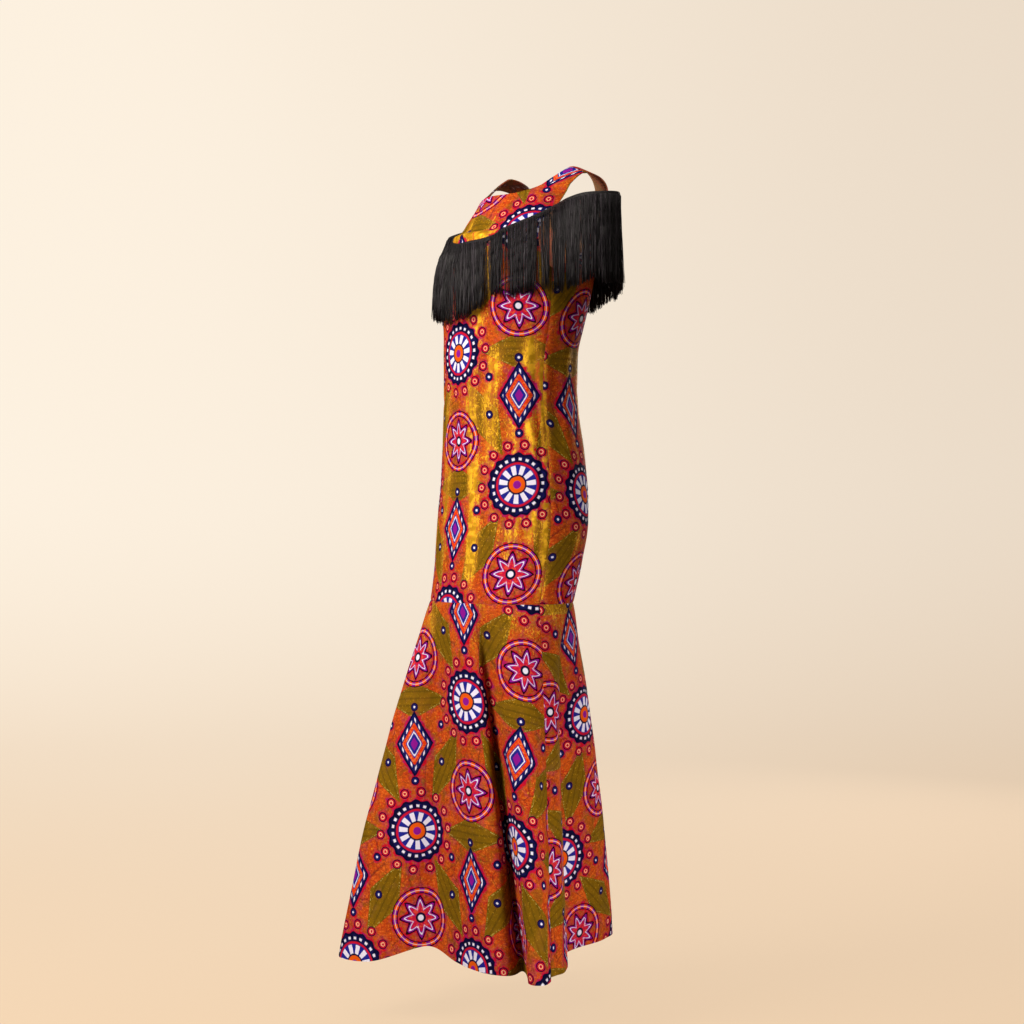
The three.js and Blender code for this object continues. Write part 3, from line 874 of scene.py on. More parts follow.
class Wire:
    """One output of a shader node. Sums on wires make Math nodes."""

    def __init__(self, node, output=0):
        self.tree, self.socket = node.id_data, node.outputs[output]

    def math(self, operation, *values):
        """The result of a Math node whose inputs are some values."""
        return Wire(add_node(self.tree, "Math", enumerate(values), operation=operation))

    __add__ = __radd__ = maths("ADD")
    __sub__ = maths("SUBTRACT")
    __mul__ = __rmul__ = maths("MULTIPLY")
    __truediv__ = maths("DIVIDE")
    sine, root, bearing = maths("SINE"), maths("SQRT"), maths("ARCTAN2")
    size, high = maths("ABSOLUTE"), maths("MAXIMUM")

    def __rsub__(self, other):
        return self.math("SUBTRACT", other, self)

    def step(self, start, end):
        """0 before start, 1 after end and smooth between. start may be the larger."""
        inputs = {"Value": self, "From Min": start, "From Max": end}
        node = add_node(self.tree, "MapRange", inputs, interpolation_type="SMOOTHSTEP")
        return Wire(node, "Result")

    def split(self):
        """The three numbers of a vector."""
        node = add_node(self.tree, "SeparateXYZ", {0: self})
        return [Wire(node, k) for k in range(3)]

    def noise(self, pitch, detail=2.0, rough=0.5):
        """Noise of 0 to 1 at this place, with blobs about one pitch wide."""
        inputs = {"Vector": self, "Scale": 1 / pitch, "Detail": detail, "Roughness": rough}
        return Wire(add_node(self.tree, "TexNoise", inputs))

    def cells(self, pitch, random=1.0):
        """Distance to the middle of scattered cells one pitch apart, and a number for each."""
        inputs = {"Vector": self, "Scale": 1 / pitch, "Randomness": random}
        node = add_node(self.tree, "TexVoronoi", inputs, feature="F1")
        return Wire(node, "Distance"), Wire(node, "Color").split()[0]

    def cell_edges(self, pitch):
        """Distance to the edges of scattered cells one pitch apart."""
        inputs = {"Vector": self, "Scale": 1 / pitch, "Randomness": 1.0}
        node = add_node(self.tree, "TexVoronoi", inputs, feature="DISTANCE_TO_EDGE")
        return Wire(node, "Distance")


def tree_of(*values):
    """The node tree of the first wire among some values."""
    return next(value.tree for value in values if isinstance(value, Wire))


def blended(share, a, b):
    """Colour a where share is 0 and colour b where it is 1."""
    inputs = {0: share, 6: a, 7: b}
    return Wire(add_node(tree_of(share, a, b), "Mix", inputs, data_type="RGBA"), 2)


def painted(base, *coats):
    """Coats of colour laid over a base in order, each as (share, colour)."""
    for share, colour in coats:
        base = blended(share, base, colour)
    return base


def joined(*parts):
    """A vector of three numbers."""
    return Wire(add_node(tree_of(*parts), "CombineXYZ", enumerate(parts)))


def attribute(tree, name, output="Vector"):
    """An attribute that a piece stores at its points: a vector, or one number from "Fac"."""
    return Wire(add_node(tree, "Attribute", {}, attribute_name=name), output)


def bump(height, strength, distance):
    """A normal from a height. strength is its share and distance its depth in metres."""
    inputs = {"Height": height, "Strength": strength, "Distance": distance}
    return Wire(add_node(height.tree, "Bump", inputs))


def group(name, inputs, outputs):
    """Makes an empty node group, with its inputs' kinds by name and outputs that are values.
    Returns its inputs as wires, and the node that takes its outputs."""
    tree = bpy.data.node_groups.new(name, "ShaderNodeTree")
    for label, kind in inputs.items():
        tree.interface.new_socket(label, in_out="INPUT", socket_type="NodeSocket" + kind)
    for label in outputs:
        tree.interface.new_socket(label, in_out="OUTPUT", socket_type="NodeSocketFloat")
    way_in, way_out = tree.nodes.new("NodeGroupInput"), tree.nodes.new("NodeGroupOutput")
    return [Wire(way_in, label) for label in inputs], way_out


def place_group(made, **inputs):
    """Puts a group in a material with its own values. Returns its outputs in order."""
    node = add_node(tree_of(*inputs.values()), "Group", {}, node_tree=made)
    for label, value in inputs.items():
        plug(node.inputs[label], value)
    return [Wire(node, k) for k in range(len(node.outputs))]


def new_material(name):
    """A new material, its node tree and its shader."""
    material = bpy.data.materials.new(name)
    material.use_nodes = True
    return material.node_tree, material.node_tree.nodes["Principled BSDF"]


def finish(shader, **values):
    """Plugs the shader's inputs. A name's underscores are spaces."""
    for name, value in values.items():
        plug(shader.inputs[name.replace("_", " ")], value)


# ---- shared effects -----------------------------------------------------------------------

EDGE_SOFTNESS = 0.35


def weave_group():
    """Plain weave: two crossed sets of rounded yarns that pass over and under each other, with
    a little slub along each. Cloth is in millimetres and Pitch is the space between yarns."""
    inputs = {"Cloth": "Vector", "Pitch": "Float"}
    (cloth, pitch), way_out = group("Plain weave", inputs, ("Height", "Slub"))
    u, v, _ = cloth.split()
    p, q = u / pitch, v / pitch
    over = (p * math.pi).sine() * (q * math.pi).sine()
    warp, weft = ((yarn * math.tau).sine() * 0.5 + 0.5 for yarn in (p, q))
    side = over.step(-0.4, 0.4)
    along_warp, along_weft = joined(u * 0.25, v * 2.0, 0.0), joined(u * 2.0, v * 0.25, 0.0)
    plug(way_out.inputs["Height"], warp * side + weft * (1 - side))
    plug(way_out.inputs["Slub"], along_warp.noise(2.0) * 0.5 + along_weft.noise(2.0) * 0.5)
    return way_out.id_data


def marks_group():
    """White resist marks: scattered blobs of uneven size, each with a ragged edge. Size is the
    space between them in millimetres, and Share is how many of them show."""
    inputs = {"Cloth": "Vector", "Size": "Float", "Share": "Float"}
    (cloth, size, share), way_out = group("Resist marks", inputs, ("Marks",))
    scale = {0: cloth, 1: joined(size, size, size)}
    at = Wire(add_node(size.tree, "VectorMath", scale, operation="DIVIDE"))
    distance, chance = at.cells(1.0)
    blob = (distance + (at.noise(0.5) - 0.5) * 0.5 - chance * 0.28).step(0.34, 0.16)
    plug(way_out.inputs["Marks"], blob * chance.step(1 - share, 1.04 - share))
    return way_out.id_data


def edge_group():
    """Masks of a printed shape from its signed distance: its inside, and its inside with a
    dark outline of Width. Wander moves the edge in and out."""
    inputs = {"Distance": "Float", "Wander": "Float", "Width": "Float"}
    (distance, wander, width), way_out = group("Printed edge", inputs, ("Inside", "Outline"))
    away = distance + wander
    plug(way_out.inputs["Inside"], away.step(EDGE_SOFTNESS, -EDGE_SOFTNESS))
    plug(way_out.inputs["Outline"], away.step(width + EDGE_SOFTNESS, width - EDGE_SOFTNESS))
    return way_out.id_data


# ---- materials ----------------------------------------------------------------------------

DARK, NAVY, ROYAL = "1e0210", "0a0830", "20248c"
DEEP_BLUE, PURPLE, WHITE = "16185c", "8a1690", "e6e2f8"


class Cloth:
    """What every coat of the print shares: its place on the flat cloth, soft noises of several
    pitches in millimetres, and the shared effects."""

    def __init__(self, tree, shades):
        self.tree, self.shades = tree, shades
        self.u, self.v, self.inner = attribute(tree, "cloth").split()
        self.at = joined(self.u, self.v, 0.0)
        self.edge_effect, self.marks_effect = edge_group(), marks_group()
        self.wander = (self.at.noise(5.0) - 0.5) * 2.2
        self.grain = self.at.noise(1.1, rough=0.6)
        self.fine = self.at.noise(2.6)
        self.soft = self.at.noise(16.0)
        self.broad = self.at.noise(58.0)
        self.mauve = self.near(300, 0, 7.0).noise(22.0, 3.0, 0.6)
        self.speck = self.drawn(0.8, 1.0, 2.0).noise(3.6, rough=0.7)
        self.blotch = self.near(40, 0, 1.0).noise(9.0, rough=0.6)

    def near(self, along, up, depth):
        """The place on the cloth moved by millimetres, in another sheet of the noise."""
        return joined(self.u + along, self.v + up, depth)

    def drawn(self, along, up, depth=0.0):
        """The place on the cloth with each way scaled, which draws a pattern out."""
        return joined(self.u * along, self.v * up, depth)

    def edges(self, distance, width, rough=1.0):
        """Inside and outline of a printed shape, from its distance and its outline's width."""
        wander = self.wander * rough
        return place_group(self.edge_effect, Distance=distance, Wander=wander, Width=width)

    def motif(self, family, width, rough=1.0):
        """A family's three numbers, and its inside and outline."""
        numbers = attribute(self.tree, family).split()
        return *numbers, *self.edges(numbers[0], width, rough)

    def marks(self, size, share, offset=0.0):
        """White resist marks, from a place on the cloth an offset away."""
        where = self.near(offset, offset, 0.0)
        return place_group(self.marks_effect, Cloth=where, Size=size, Share=share)[0]


def ground_colour(c):
    """Rust orange with mauve and olive clouds, coarse heather over them, and thin dark cracks
    like those of broken wax."""
    olive = c.near(0, 700, 3.0).noise(34.0, rough=0.6)
    cracks = joined(c.u + c.wander * 3, c.v * 0.7 + c.wander * 3, 0.0).cell_edges(46.0)
    return painted(
        c.shades.ground,
        (c.broad.step(0.38, 0.68) * 0.8, "cc5a18"),
        (c.mauve.step(0.50, 0.66) * 0.7, "a03844"),
        (olive.step(0.50, 0.66) * 0.75, "80540e"),
        (c.soft.step(0.53, 0.66) * 0.6, "c42c18"),
        (c.speck.step(0.50, 0.62) * 0.55, "7c2a1c"),
        (c.speck.step(0.46, 0.34) * 0.65, "e0702a"),
        (c.grain.step(0.55, 0.70) * 0.3, "d87c38"),
        (cracks.step(0.020, 0.006) * 0.55, "54201a"),
    )


def lozenges(c):
    """Lozenges of the ground: olive, with lengthwise stripes and a dotted pale edge. Their
    inside and their colour."""
    lozenge, _, side, inside, _ = c.motif("lozenge", 0.5)
    stripe = (side * 16 + c.wander * 0.6).sine()
    rim = (lozenge + c.wander + 2.2).size().step(1.4, 0.6)
    return inside, painted(
        c.shades.lozenge,
        (c.soft.step(0.35, 0.62) * 0.6, "86600c"),
        (stripe.step(0.35, 0.95) * 0.5, "4c3a0a"),
        (c.speck.step(0.50, 0.64) * 0.4, "5c4a10"),
        (c.mauve.step(0.55, 0.75) * 0.3, "7c5434"),
        (rim * c.marks(2.6, 0.75, 40.0), "b4a050"),
    )


def gilt_and_highlight(c):
    """Gold grains, thick where the painted highlight lies on the raised folds and in clouds
    elsewhere, with a painted warm sheen round them. The grains, their coats and all."""
    # The gold's cover, raised by painted highlight on the streaks and folds where the light catches
    # it.
    gilt_highlight_cover = attribute(c.tree, "gilt_highlight_cover", "Fac")
    streaky = c.drawn(1.0, 0.09, 5.0).noise(6.5)
    cloud = joined(c.u + 90, c.v * 0.55, 11.0).noise(46.0)
    flakes = c.drawn(1.0, 0.6, 9.0).noise(3.0, rough=0.75)
    cover = gilt_highlight_cover * (streaky * 2.6 - 0.55) + cloud.step(0.48, 0.70) * gilt_highlight_cover.step(0.05, 0.4) * 0.30
    gold = (cover + (flakes - 0.5) * 2.6 + (c.grain - 0.5)).step(0.35, 0.75)
    # A warm painted sheen: lighter orange round the gold and its painted highlight.
    painted_sheen = (gilt_highlight_cover * 1.2 + (cloud - 0.5) * 1.4).step(0.2, 1.0)
    gold_colour = blended(c.soft.step(0.40, 0.60), "b88a14", c.shades.gold)
    return gold, ((painted_sheen * 0.4, "dc8438"), (gold * 0.85, gold_colour))


def halos(c, in_lozenge):
    """Red and magenta round every motif but the lozenges, which push it back. How far it covers,
    and its coats."""
    distance, halo = attribute(c.tree, "halo", "Fac"), c.shades.halo
    rough = distance + c.wander * 1.6 + (c.blotch - 0.5) * 16 + in_lozenge * 4.5
    haze = (rough + (c.speck - 0.5) * 14).step(halo * 1.9, halo * 1.1)
    outer = rough.step(halo * 1.35, halo * 1.05)
    hot = (distance + c.wander + (c.speck - 0.5) * 9).step(4.2, 2.6)
    return outer, (
        (haze * 0.45, "90284c"),
        (outer * 0.94, blended(c.blotch.step(0.42, 0.58), "c60c1c", "b60a4c")),
        (outer * c.speck.step(0.50, 0.62) * 0.5, "8c0c48"),
        (outer * c.soft.step(0.52, 0.66) * 0.6, "8a1a74"),
        (hot * 0.8, "cc2014"),
    )


def band(value, low, high, soft):
    """1 where a value lies between low and high, with soft ends."""
    return value.step(low - soft, low + soft) * value.step(high + soft, high - soft)


def polar(x, y):
    """The angle and the distance from the middle of a motif."""
    return y.bearing(x), (x * x + y * y).root()


# Each motif below gives its outline and the outline's colour, then its inside and its colour.


def hoops(c):
    """Hoops: blocks of red-orange and purple round each star."""
    _, angle, across, inside, line = c.motif("hoop", 2.0, 0.5)
    blocks = ((angle * 18).sine() + (c.fine - 0.5) * 0.4).step(-0.12, 0.12)
    colour = painted("e2480e", (blocks, PURPLE), (across.size().step(1.0, 0.4) * 0.7, "f6dcc0"))
    return line, DARK, inside, colour


def diamonds(c):
    """Diamonds, one inside another: navy with white ticks, red-orange, blue and purple."""
    _, share, side, inside, line = c.motif("diamond", 3.0, 0.7)
    out = share + (c.fine - 0.5) * 0.06
    ticks = (side * 26).sine().step(0.1, 0.5)
    colour = painted(
        DEEP_BLUE,
        (band(out, 0.80, 0.91, 0.02) * ticks, WHITE),
        (out.step(0.74, 0.70), "da3a0e"),
        (out.step(0.74, 0.70) * c.speck.step(0.52, 0.62) * 0.6, "f09050"),
        (out.step(0.52, 0.48), ROYAL),
        (band(out, 0.38, 0.44, 0.02), WHITE),
        (out.step(0.24, 0.20), PURPLE),
    )
    return line, NAVY, inside, colour


def stars(c):
    """Stars: purple with a white line, then crimson, then a blue eye."""
    star, x, y, inside, line = c.motif("star", 3.0, 0.6)
    _, away = polar(x, y)
    colour = painted(
        PURPLE,
        ((star + c.wander * 0.3 + 4.2).size().step(1.3, 0.6), WHITE),
        ((star + c.wander * 0.4).step(-6.6, -7.6), "c2143a"),
        (c.speck.step(0.50, 0.60) * away.step(0.60, 0.50) * 0.6, "e85a30"),
        (away.step(0.27, 0.23), NAVY),
        (away.step(0.16, 0.12), WHITE),
    )
    return line, DARK, inside, colour


def medallions(c):
    """Medallions in rings: navy with white beads, crimson, blue with white wedges that point
    outwards, navy, orange, and purple at the middle."""
    _, x, y, inside, line = c.motif("medallion", 4.0, 0.8)
    angle, out = polar(x, y)
    out = out + (c.soft - 0.5) * 0.05
    beads = (angle * 22).sine().step(0.0, 0.4) * band(out, 0.84, 0.93, 0.02)
    wedges = ((angle * 11).sine() * 0.5 + 0.66 - out + (c.fine - 0.5) * 0.2).step(0.0, 0.08)
    colour = painted(
        NAVY,
        (c.soft.step(0.42, 0.58) * 0.6, DEEP_BLUE),
        (beads, WHITE),
        (out.step(0.78, 0.75), "c01430"),
        (out.step(0.70, 0.67), ROYAL),
        (out.step(0.67, 0.64) * wedges, WHITE),
        (out.step(0.36, 0.33), NAVY),
        (out.step(0.30, 0.27), "e2580e"),
        (out.step(0.15, 0.12), PURPLE),
    )
    return line, NAVY, inside, colour


def dots(c):
    """Dots: crimson with a pale ring, or blue with a white centre."""
    _, share, kind, inside, line = c.motif("dot", 1.8, 0.4)
    crimson = painted("b81030", (band(share, 0.42, 0.62, 0.06), "f2b088"))
    blue = painted(DEEP_BLUE, (share.step(0.50, 0.36), WHITE))
    return line, "160428", inside, blended(kind.step(0.4, 0.6), crimson, blue)


MOTIFS = (hoops, diamonds, stars, medallions, dots)


def cotton_material(shades, weave):
    """Printed cotton. Coats of colour go on in this order: ground, lozenges, gold with its
    painted highlight and painted sheen, halos and the motifs. Thick yarns show darker, and the
    inside of the cloth is paler, with no gold. The gold is metallic where nothing is printed over it."""
    tree, shader = new_material("printed cotton")
    c = Cloth(tree, shades)
    height, slub = place_group(weave, Cloth=c.at, Pitch=shades.yarn_pitch)
    in_lozenge, lozenge_colour = lozenges(c)
    gold, sheen_and_gold_coats = gilt_and_highlight(c)
    printed, halo_coats = halos(c, in_lozenge)
    ground = painted(ground_colour(c), (in_lozenge, lozenge_colour))
    base = painted(ground, *sheen_and_gold_coats, *halo_coats)
    for motif in MOTIFS:
        line, line_colour, inside, colour = motif(c)
        base = painted(base, (line, line_colour), (inside, colour))
        printed = printed.high(inside)
    base = painted(base, (slub.step(0.55, 0.75) * 0.16, "30140c"), (c.inner * 0.55, "c08c70"))
    shine = gold * (1 - printed) * (1 - c.inner)
    finish(
        shader,
        Base_Color=base,
        Metallic=shine * 0.4,
        Roughness=0.72 - shine * 0.30 + (c.grain - 0.5) * 0.16,
        Specular_IOR_Level=0.03,
        Normal=bump(height * 0.5 + slub * 0.6 + c.grain * shine * 1.2, 0.35, 0.0004),
    )


def tape_material(shades, weave):
    """Black braid: slanting plaits that cross in chevrons along the tape, with a painted highlight on
    each plait's crown.
    """
    tree, shader = new_material("black braid")
    u, v, _ = attribute(tree, "cloth").split()
    at = joined(u, v, 0.0)
    height, _ = place_group(weave, Cloth=at, Pitch=1.6)
    plait = (u * 1.5 + (v - TAPE_DEPTH / 2).size() * 1.3).sine()
    tone = at.noise(3.0)
    # The lighter grey on the plaits' crowns is painted highlight; the darker blobs are the braid's own
    # tone.
    coats = (plait.step(0.0, 0.9) * 0.5, "2c282c"), (tone.step(0.5, 0.7) * 0.4, "060506")
    finish(
        shader,
        Base_Color=painted(shades.strand, *coats),
        Roughness=0.62 + (tone - 0.5) * 0.2,
        Specular_IOR_Level=0.3,
        Normal=bump(plait * 0.5 + height * 0.3, 0.6, 0.0006),
    )


def strand_material(shades):
    """Black twisted rayon: each strand has its own tone, lighter as painted light where its tuft
    stands out, and a twist that runs round it.
    """
    tree, shader = new_material("black fringe")
    along, around, tone = attribute(tree, "strand").split()
    twist = (along * 2.6 + around * math.tau).sine()
    lint = joined(along * 0.3, tone * 90, 0.0).noise(1.0)
    colour = painted(
        shades.strand,
        (tone.step(0.25, 1.0) * 0.95, "38323a"),
        (lint.step(0.55, 0.8) * 0.25, "3a363c"),
        (twist.step(0.2, 1.0) * 0.3, "060507"),
    )
    finish(
        shader,
        Base_Color=colour,
        Roughness=0.46 + (lint - 0.5) * 0.3,
        Specular_IOR_Level=0.28,
        Normal=bump(twist, 0.5, 0.0003),
    )


# ---- cloth pieces -------------------------------------------------------------------------

# How far each family's halo is trimmed, in millimetres.
HALO_TRIM = {"hoop": 5.5, "star": 4.0, "diamond": 2.0, "medallion": 2.0, "dot": 5.5}
# Each panel is cut from its own place on the cloth: its middle there, in millimetres.
CUT_FROM = {
    "front_body": (22.0, 25.0),
    "back_body": (300.0, 40.0),
    "flounce_front": (250.0, 640.0),
    "flounce_back": (40.0, 900.0),
}
SHARP_DEGREES = 55
# Streaks of painted highlight where the light catches the gold: turn, half-width, top, foot and
# strength.
HIGHLIGHT_STREAKS = columns(
    "turn width top foot share",
    (8, 6.0, 225, 720, 1.15),
    (15, 5.0, 90, 260, 0.7),
    (56, 6.0, 300, 660, 1.15),
    (68, 4.0, 330, 760, 1.0),
    (26, 7.0, 330, 620, 0.7),
    (42, 8.0, 430, 740, 0.9),
    (-12, 5.0, 60, 150, 0.8),
    (-24, 6.0, 340, 720, 0.6),
    (-48, 6.0, 300, 700, 0.6),
    (104, 6.0, 330, 700, 0.5),
    (130, 8.0, 300, 640, 0.55),
    (160, 7.0, 260, 720, 0.6),
    (196, 8.0, 320, 690, 0.6),
    (226, 7.0, 280, 640, 0.5),
    (254, 6.0, 330, 700, 0.5),
)
# Gold cover: PLAIN_GOLD is the gold that lies all over the sheath and FLOUNCE_GOLD over the flounce;
# the streaks, the header's fold and the waves under the flounce seam add painted highlight.
PLAIN_GOLD, STREAK_HIGHLIGHT, FOLD_HIGHLIGHT = 0.12, 0.85, 0.30
FLOUNCE_GOLD, SEAM_HIGHLIGHT, SEAM_HIGHLIGHT_PITCH = 0.10, 0.5, 19
SHEATH_ROWS, STRAP_ROWS, FLOUNCE_ROWS = 268, 18, 176


def cloth_piece(node, sheet, gold):
    """One cut panel: its sheet is moved along its normals by the creases, made a closed wall
    and given the print's numbers at its place on the cloth, alike on both of its faces."""
    points, quads, flat, lift, wall = sheet
    points = points + point_normals(points, quads) * lift[:, None]
    piece = build_mesh(f"{node}_cloth", *shell(points, quads, wall))
    piece.data.set_sharp_from_angle(angle=math.radians(SHARP_DEGREES))
    on_cloth = flat + CUT_FROM[node]
    fields = print_fields(on_cloth)
    fields["halo"] = np.min([fields[family][:, 0] + trim for family, trim in HALO_TRIM.items()], 0)
    # The gold's cover with its painted highlight.
    fields["gilt_highlight_cover"] = gold
    for family, values in fields.items():
        store(piece, family, np.concatenate([values, values]))
    inner = np.repeat([0.0, 1.0], len(flat))
    store(piece, "cloth", np.column_stack([np.tile(on_cloth, (2, 1)), inner]))
    size, area = flat_size(flat, quads)
    finish_piece(piece, node, "printed cotton")


def highlight_cover(turn, drop):
    """Cover of the painted gold highlight: each streak is a bell curve across and eased at its ends.
    """
    total = np.zeros_like(turn)
    for c in rows_of(HIGHLIGHT_STREAKS):
        off = wrapped(turn - c["turn"] + 2.0 * np.sin(drop / 70 + c["turn"]))
        ends = ease(drop, c["top"] - 40, c["top"] + 40) * ease(drop, c["foot"] + 50, c["foot"] - 50)
        total = np.maximum(total, c["share"] * bell(off, c["width"]) * ends)
    return total


def turn_and_drop(points):
    """Turn and drop of points on the sheath, from their place round its middle."""
    drop = -points[:, 2]
    s = smooth_read(SECTIONS, "drop", drop)
    y = points[:, 1] - s["mid"]
    depth, _ = half_section(s, y < 0)
    return np.degrees(np.arctan2(points[:, 0] / s["half"], -y / depth)), drop


def make_sheath():
    """The front and back panels, with gold all over and painted gold highlight on the streaks and on
    the header's fold.
    """
    for node, cut, across in (("front_body", FRONT_CUT, 128), ("back_body", BACK_CUT, 132)):
        sheet = body_sheet(cut, across, SHEATH_ROWS, STRAP_ROWS)
        turn, drop = turn_and_drop(sheet[0])
        gold = PLAIN_GOLD + STREAK_HIGHLIGHT * highlight_cover(turn, drop)
        if cut is FRONT_CUT:
            # Painted gold highlight on the raised crest of the header's fold.
            gold += FOLD_HIGHLIGHT * np.clip(header_fold(turn, drop), 0, 4)
        cloth_piece(node, sheet, gold)


def make_flounce():
    """The two flared panels, with gold all over and painted gold highlight in waves across them just
    under the seam.
    """
    for node, start, end, across in (
        ("flounce_front", -SIDE_SEAM_TURN, SIDE_SEAM_TURN, 250),
        ("flounce_back", SIDE_SEAM_TURN, 360 - SIDE_SEAM_TURN, 268),
    ):
        sheet = flounce_sheet(start, end, across, FLOUNCE_ROWS)
        points, _, flat, _, _ = sheet
        # Waves of painted gold highlight just under the flounce seam.
        waves = 0.5 + 0.5 * np.sin(flat[:, 0] / SEAM_HIGHLIGHT_PITCH)
        gold = FLOUNCE_GOLD + SEAM_HIGHLIGHT * ease(-points[:, 2], 900, 780) * waves
        cloth_piece(node, sheet, gold)


# ---- header and fringe --------------------------------------------------------------------

TAPE_WALL, TAPE_OFF = 1.7, 0.15
TAPE_ROWS, TAPE_COLUMNS = 8, 640
PLAIT_PITCH, PLAIT_SLANT, PLAIT_HEIGHT, SELVEDGE_DROP = 7.8, 8, 0.22, 0.4
STRAND_LEVELS, STRAND_SIDES = 9, 3
STRAND_LAYERS, LAYER_STEP, NEAREST_LAYER = 2, 0.85, 0.6
STRAND_TOP = 0.034
FRINGE_SEED = 5
TUFT_WIDTH = 7, 19
CORD_WIDTH = 1.7
# Places where the strands part, by distance round from centre front by the left arm: how far
# they move and over what width, in millimetres, how far down it starts, and the share of
# strands that is missing there.
PARTINGS = columns(
    "arc push width from_down thin",
    (-150, 2.0, 10, 0.3, 0.2),
    (-90, 1.4, 9, 0.5, 0.2),
    (-32, 2.4, 9, 0.3, 0.35),
    (6, 1.4, 8, 0.5, 0.2),
    (42, 3.0, 10, 0.3, 0.5),
    (78, 2.4, 12, 0.4, 0.55),
    (88, 0.0, 75, 0.5, 0.24),
    (108, 1.4, 8, 0.5, 0.3),
    (148, 2.6, 13, 0.35, 0.6),
    (170, 3.4, 10, 0.2, 0.5),
    (206, 1.8, 10, 0.5, 0.2),
    (243, 1.6, 9, 0.45, 0.2),
    (278, 1.8, 9, 0.45, 0.2),
    (330, 1.6, 9, 0.5, 0.1),
    (384, 1.8, 9, 0.5, 0.1),
    (460, 1.0, 10, 0.4, 0.1),
    (562, 1.8, 10, 0.4, 0.3),
    (640, 2.0, 9, 0.4, 0.3),
    (731, 2.4, 10, 0.4, 0.3),
    (812, 1.8, 9, 0.5, 0.3),
    (868, 1.6, 9, 0.5, 0.3),
)

# The chest's strands swing only the way the turned chest faces; the rest swing straight out.
CHEST_TURN_TO_LEFT = math.radians(50)
CHEST_FACES = np.array([math.sin(CHEST_TURN_TO_LEFT), -math.cos(CHEST_TURN_TO_LEFT)])
CHEST_ACROSS = np.array([math.cos(CHEST_TURN_TO_LEFT), math.sin(CHEST_TURN_TO_LEFT)])
HANG_STEPS, HANG_SHARE = 7, 0.6
# How much a strand's reach varies with its tuft, in broad waves and on its own, in
# millimetres, and the largest share of it that is worn away.
TUFT_REACH, BROAD_REACH, OWN_REACH = 3.4, 2.4, 1.6
WORN_SHORT = 0.13
# A stretch of the header, by its distance from centre front, where the strands are shorter.
SHORT_STRETCH = {"arc": 52, "width": 26, "share": 0.06}
# TUFT_LIT_TONE makes tufts that stand further out a little lighter: painted light on the outer
# strands.
MEAN_TONE, OWN_TONE, CORD_TONE, TUFT_LIT_TONE = 0.34, 0.24, 0.34, 0.12
THICKEST, THINNEST, FOOT_THINS = 1.15, 0.8, 0.25
LAYER_SPREAD, TUFT_STANDS_OUT, MOST_STRAY = 0.2, 0.25, 5
UNPARTED = 0.14  # share of strands that stay where a parting would move them
# How far a strand waves along and out, in millimetres, and how far it turns, in radians.
WAVE, SWELL, TWIST = 0.16, 0.12, 5


def ring_scale():
    """Distance round the header's line, and the share of the table at each distance."""
    around = np.linspace(0, 1, 2001)
    points = fringe_point(around, np.full_like(around, 0.04))
    arc = np.concatenate([[0], np.cumsum(np.linalg.norm(np.diff(points, axis=0), axis=1))])
    return arc, around


def share_at(ring, place):
    """Share of the table at distances round the header."""
    return np.interp(np.mod(place, ring[0][-1]), *ring)


def fringe_frame(around, down):
    """Points of the fringe's inside face, with level unit vectors along it and out of it."""
    step = 0.0008
    run = fringe_point(around + step, down) - fringe_point(around - step, down)
    run[..., 2] = 0
    run /= np.linalg.norm(run, axis=-1, keepdims=True)
    out = np.stack([run[..., 1], -run[..., 0], 0 * run[..., 0]], -1)
    return fringe_point(around, down), run, out


def header_tape(ring):
    """The braid: a strip on the header's line, with plaits that cross in chevrons as relief,
    thinner at both selvedges. Gives its solid, its faces and its flat coordinates."""
    place = np.linspace(0, ring[0][-1], TAPE_COLUMNS + 1)[:-1]
    place, share = np.meshgrid(place, np.linspace(0, 1, TAPE_ROWS + 1))
    points, _, out = fringe_frame(share_at(ring, place), share * TAPE_DEPTH / FRINGE_DEPTH)
    slant = (place + np.abs(share - 0.5) * PLAIT_SLANT) * math.tau / PLAIT_PITCH
    relief = PLAIT_HEIGHT * np.sin(slant) * np.sin(math.pi * share)
    crown = TAPE_WALL + relief - SELVEDGE_DROP * (2 * share - 1) ** 4
    points = (points + out * (TAPE_OFF + crown)[..., None]).reshape(-1, 3)
    solid, faces = shell(points, grid_faces(closed_round(numbered(place.shape))), crown.ravel())
    flat = np.stack([place, (1 - share) * TAPE_DEPTH, 0 * place], -1).reshape(-1, 3)
    return solid, faces, np.tile(flat, (2, 1))


